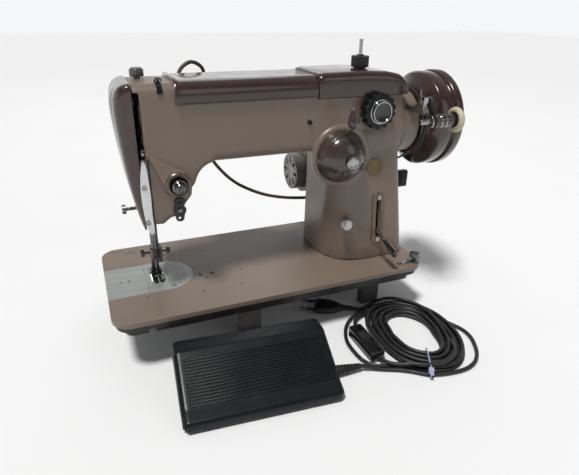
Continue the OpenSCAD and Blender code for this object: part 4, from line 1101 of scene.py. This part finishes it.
def face_plan(x, y, inset):
    d = np.hypot(x - HEAD_X - 2, y) - 24
    d = join(d, sd_rect(x - HEAD_X + 5, y, 11, ARM_HALF - 13, 3), 2)
    d = join(d, np.hypot(x - HEAD_X + 4, np.abs(y) - 21) - 15, 2)
    d = join(d, sd_rect(x - HEAD_X - 2, y, 8, ARM_HALF, 3), 2)
    return d + inset


def face_field(x, y, z):
    outer = -join(-face_plan(x, y, 0), -face_side(x, z), 7)
    inner = np.maximum(face_plan(x, y, 3), face_side(x - 3, z, -110) + 0.5)
    d = cut(outer, np.maximum(inner, z - 218), 0.5)
    d = cut(d, np.maximum(np.hypot(y, z - 88) - 2, np.abs(x + 140) - 25), 0.2)
    return np.maximum(d, x - HEAD_X + 0.02)


def face_piece():
    o = cast("face_plate_finished", face_field, (-158, -37, 66), (HEAD_X, 37, 223), 1.35, MAT["brown"])
    place(o, "machine", "brown_enamel", "face_plate")


def guard_piece():
    """Bright plate on the head's front, its outline and its face both slightly bowed."""
    left = [(-135.2, 148), (-137.8, 132), (-138.8, 116), (-138.4, 100), (-137.2, 86), (-135.8, 77),
            (-133.4, 71)]
    right = [(-130.4, 69.6), (-128.9, 76), (-129.6, 92), (-129.2, 112), (-129.8, 130), (-130.8, 143),
             (-133, 150.6)]
    outline = smooth_path(left + right, 3)
    b = Build("guard_plate_finished")
    b.add(prism(outline, 0.05, 1.5, 0.5, 3), "mirror", front(0, -ARM_HALF, 0))
    # A near-black rod along the plate's right edge: painted shade in the seam beside the plate.
    b.add(sweep([(-128.6, -36.6, z) for z in np.linspace(74, 150, 12)], circle(0.55, 8)), "dark")
    place(b.done(50), "machine", "plated", "guard_plate")


PLUG_BACK, PLUG_TURN = (98, -68, -56), 151


def plug_piece():
    m = Matrix.Translation(PLUG_BACK) @ Matrix.Rotation(math.radians(PLUG_TURN), 4,
                                                        "Z") @ Matrix.Rotation(PI / 2, 4, "Y")
    b = Build("mains_plug_finished")
    verts = []
    rings = [(0, 2.4, 2.3), (3, 3.2, 2.9), (6, 2.9, 2.6), (8, 3.7, 3.1), (10.6, 3.4, 2.9), (12.6, 4.4, 3.5),
             (16, 6.4, 4.2),
             (21, 9.4, 4.9), (28, 11.6, 5.3), (36, 12.7, 5.5), (44, 12.9, 5.5), (46.6, 12.6, 5.2),
             (48, 11.6, 4.4)]
    n = 40
    for h, w, t in rings:
        for i in range(n):
            a = 2 * PI * i / n
            c, q = math.cos(a), math.sin(a)
            verts.append((-t * math.copysign(abs(c) ** 0.62, c), w * math.copysign(abs(q) ** 0.62, q), h))
    faces = [f[::-1] for f in walls(len(rings), n)]
    faces += [tuple(range(n)), tuple(range(len(verts) - 1, len(verts) - n - 1, -1))]
    b.add((verts, faces), "rubber", m)
    for y in (-9.3, 9.3):
        b.add(lathe(soft([(0, 0), (1.75, 0), (1.75, 10), (0, 10)], 0.2), 20), "rubber",
              m @ Matrix.Translation((0, y, 47.6)))
        b.add(lathe(soft([(0, 0), (2, 0), (2, 8.6), (1.2, 9.6), (0, 9.9)], 0.5), 20), "chrome",
              m @ Matrix.Translation((0, y, 57)))
    return place(b.done(45), "machine", "black_rubber", "mains_plug")


BLOCK_C = (78, -136)


def block_piece():
    b = Build("inline_block_finished")
    b.add(prism(rounded(16.6, 55.6, 3.2, 6), -6.4, 6.4, 1.6, 3), "gloss",
          Matrix.Translation((*BLOCK_C, -55.55)))
    b.add(prism(rounded(17.2, 40, 2.6, 6, 0, -2), -0.8, 0.4, 0.3, 2), "gloss",
          Matrix.Translation((*BLOCK_C, -55.4)))
    b.add(prism(rounded(11, 16, 1.5, 4, 0, 6), 6.2, 7, 0.4, 2), "rubber",
          Matrix.Translation((*BLOCK_C, -56.1)))
    return place(b.done(40), "machine", "black_gloss", "inline_block")


def tie_piece():
    """Plastic strap round the coil, with its small locking head and cut tail."""
    turn = math.radians(242)
    m = Matrix.Translation((141, -157, FLOOR_Z)) @ Matrix.Rotation(turn, 4, "Z")
    arch = [(18.7, 0, 0.6), (18.6, 0, 6), (20, 0, 9.6), (26, 0, 10.8), (34, 0, 10.6), (44, 0, 10.6),
            (52, 0, 10.3), (56.6, 0, 8),
            (57.4, 0, 4), (57.2, 0, 0.6)]
    b = Build("lead_tie_finished")
    b.add(sweep(smooth_path(arch, 1.2), [(-1.9, -0.45), (1.9, -0.45), (1.9, 0.45), (-1.9, 0.45)]), "lilac", m)
    b.add(cuboid((53, -2.6, 7.6), (57.9, 2.6, 12.2), 0.5), "lilac", m)
    b.add(cuboid((57.4, -1.8, 8.6), (62, 1.8, 9.5), 0.2), "lilac", m)
    return place(b.done(40), "machine", "lilac_plastic", "lead_tie")


def bed_tension_piece():
    b = Build("bed_tension_finished")
    b.add(prism(rounded(26, 5.6, 2, 5, 166, -76), 0.05, 1.5, 0.4, 2), "chrome")
    at = Matrix.Translation((177, -75.5, 0))
    b.add(lathe(soft([(0, 0.05), (6, 0.05), (6, 1.6), (0, 1.6)], 0.4), 40), "chrome", at)
    for h in (2.2, 4.0):
        b.add(lathe([(2, h), (4.4, h), (6.4, h + 0.5), (7.3, h + 1.2), (7.4, h + 1.0), (6.2, h),
                     (4.4, h - 0.5), (2, h - 0.5)], 48), "chrome", at)
    b.add(prism(lobed(5.9, 16, 0.6, 6), 6.6, 12.8, 0.8, 2), "smoked", at)
    b.add(lathe(soft([(0, 1), (2, 1), (2, 13.8), (1.4, 14.5), (0, 14.5)], 0.4), 24), "chrome", at)
    b.add(lathe(soft([(0, 1.4), (2.5, 1.4), (2.3, 2.7), (0, 2.9)], 0.5), 32), "chrome",
          Matrix.Translation((160, -76, 0)))
    loop = smooth_path([(166.5, -76, 1.4), (166.5, -76, 3.4), (167, -75.8, 5), (168.4, -75, 5.4),
                        (169, -73.8, 4.6)], 0.8)
    b.add(sweep(loop, circle(0.9, 12)), "chrome")
    place(b.done(45), "machine", "plated", "bed_tension")


def terminal_piece():
    b = Build("terminal_block_finished")
    side = [(166.3, 60.3), (186, 60.3), (186, 84), (176, 97.8), (166.3, 97.8)]
    b.add(prism(side, 37, 52.2, 0.9, 2), "gloss", frame_at((0, 0, 0), (0, 1, 0),
                                                           (-1, 0, 0)) @ Matrix.Scale(-1, 4, (1, 0, 0)))
    b.add(cuboid((185.6, 40.2, 56.2), (214, 51.8, 83.8), 1.8), "plastic")
    b.add(cuboid((213, 41.2, 54.2), (239.6, 50.8, 77.6), 2.2), "plastic")
    for x in np.arange(217, 231, 2.4):
        b.add(cuboid((x, 40.7, 57), (x + 1.1, 51.3, 75), 0.3), "plastic")
    place(b.done(40), "machine", "black_gloss", "terminal_block")


add_camera()
add_light()
add_floor(MAT["floor"])
(lead_piece, lead_path), (mains_piece, mains_path), (lamp_piece, lamp_path) = make_leads()


RIM_CUTS = (-5, -7.5)               # heights at which the rim is divided
CORNER = (165.5, 69, 20)            # centre and radius of the bed's rounded corners
SET_BACK = 3.5


def undercut(bm):
    """Set the lower rim of the bed's front half back a little under its plate."""
    cx, cy, r = CORNER
    for z in RIM_CUTS:
        bmesh.ops.bisect_plane(bm, geom=bm.verts[:] + bm.edges[:] + bm.faces[:], plane_co=(0, 0, z * MM),
                               plane_no=(0, 0, 1),
                               dist=1e-7)
    for v in bm.verts:
        x, y, z = v.co / MM
        away = Vector((x - max(min(x, cx), -cx), y - max(min(y, cy), -cy)))
        if z < RIM_CUTS[1] + 0.1 and y < 0 and r - 0.4 < away.length:
            away = away.normalized() * SET_BACK * MM
            v.co.x -= away.x
            v.co.y -= away.y


SHARP = math.radians(32)


def refine(node, key, edge):
    """A finished copy of one CAD node: joined up, its edges rounded and its curved faces smooth."""
    source = bpy.data.objects[node]
    o = source.copy()
    o.data = source.data.copy()
    o.name = node + "_finished"
    o.data.name = o.name
    scene.collection.objects.link(o)
    bm = bmesh.new()
    bm.from_mesh(o.data)
    bmesh.ops.remove_doubles(bm, verts=bm.verts, dist=0.00001)
    bmesh.ops.dissolve_limit(bm, angle_limit=math.radians(0.6), verts=bm.verts, edges=bm.edges)
    if node == "bed_casting":
        undercut(bm)
    bm.to_mesh(o.data)
    bm.free()
    o.data.materials.clear()
    o.data.materials.append(MAT[key])
    for other, lo, hi in REGIONS.get(node, []):
        o.data.materials.append(MAT[other])
        for p in o.data.polygons:
            if all(a <= c / MM <= b for a, c, b in zip(lo, p.center, hi)):
                p.material_index = len(o.data.materials) - 1
    o.data.polygons.foreach_set("use_smooth", [True] * len(o.data.polygons))
    if edge:
        m = o.modifiers.new("bevel", "BEVEL")
        m.width = edge * MM
        m.segments = 2
        m.limit_method = "ANGLE"
        m.angle_limit = SHARP
        m.harden_normals = False
    o.data.set_sharp_from_angle(angle=SHARP)
    return o


# The colour slot of each material, then each CAD node without a piece of its own: its material and the radius
# of its edges. A region is a material and the box, low and high corner, in which a node's faces take it.
SLOTS = {"taupe": "taupe_enamel", "brown": "brown_enamel", "steel": "bright_steel", "chrome": "plated",
         "plate": "bright_steel", "cast": "grey_casting", "grey": "grey_enamel", "black": "black_steel",
         "plastic": "black_plastic", "gloss": "black_gloss", "cream": "cream_rubber",
         "rubber": "black_rubber", "cord": "brown_cord", "lilac": "lilac_plastic", "lamp": "lamp_glass",
         "brass": "plated", "dark": "black_steel", "smoked": "plated", "mirror": "plated"}
LOOK = {
    "bed_casting": ("taupe", 1.5), "spool_pin": ("black", 0.3), "slide_plate": ("plate", 0.2),
    "needle_plate": ("plate", 0.15), "feed_dog": ("steel", 0.05), "hook": ("steel", 0.2),
    "hook_shaft": ("steel", 0.2), "bobbin_case": ("steel", 0.2), "bobbin": ("steel", 0.15),
    "bed_shaft": ("steel", 0.3), "shaft_bearings": ("cast", 0.3), "drive_belts": ("rubber", 0.3),
    "arm_shaft": ("steel", 0.3), "handwheel": ("brown", 0.5), "clutch_knob": ("taupe", 0.4),
    # The needle bar, presser bar, presser foot and pressure screw take the darker chrome: painted shade and
    # dark reflection of the needle area.
    "needle_bar_gate": ("cast", 0.3), "needle_bar": ("smoked", 0.2), "needle": ("chrome", 0.0),
    "take_up_lever": ("chrome", 0.2), "presser_bar": ("smoked", 0.2), "presser_foot": ("smoked", 0.2),
    "presser_lifter": ("chrome", 0.3), "presser_spring": ("steel", 0.0), "pressure_screw": ("smoked", 0.2),
    "clamp_screw": ("chrome", 0.3), "winder_bracket": ("chrome", 0.3), "motor_body": ("grey", 0.6),
    "motor_shaft": ("steel", 0.2), "lamp_shade": ("brown", 0.4), "lamp_bulb": ("lamp", 0.0),
    "stand_legs": ("cast", 0.5), "machine_screws": ("chrome", 0.15), "pedal_base": ("plastic", 0.8),
}
REGIONS = {
    "bed_casting": [("black", (-190, -95, -30), (190, 95, -5.5))],
    "machine_screws": [("brass", (119, -60, 105), (143, -30, 129)), ("steel", (80, 30, 190), (140, 45, 210)),
                       ("dark", (40, -60, 170), (50, -30, 180)), ("smoked", (-160, -10, 80), (-140, 10, 100)),
                       ("umber", (98, -70, 118), (110, -50, 130))],
    "spool_pin": [("chrome", (110, -20, 240.6), (130, 10, 260))],
}


def finish_rest():
    for node, (key, edge) in LOOK.items():
        place(refine(node, key, edge), NODES[node]["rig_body"], SLOTS[key], node)


arm_piece()
cover_piece()
lid_piece()
dome_piece()
knob_piece()
dial_pieces()
escutcheon_piece()
face_piece()
guard_piece()
plug = plug_piece()
block = block_piece()
tie_piece()
bed_tension_piece()
terminal_piece()
winder_pieces()
guide_piece()
plate_lines()
lever_end()
tread_piece()
gland_piece()
finish_rest()
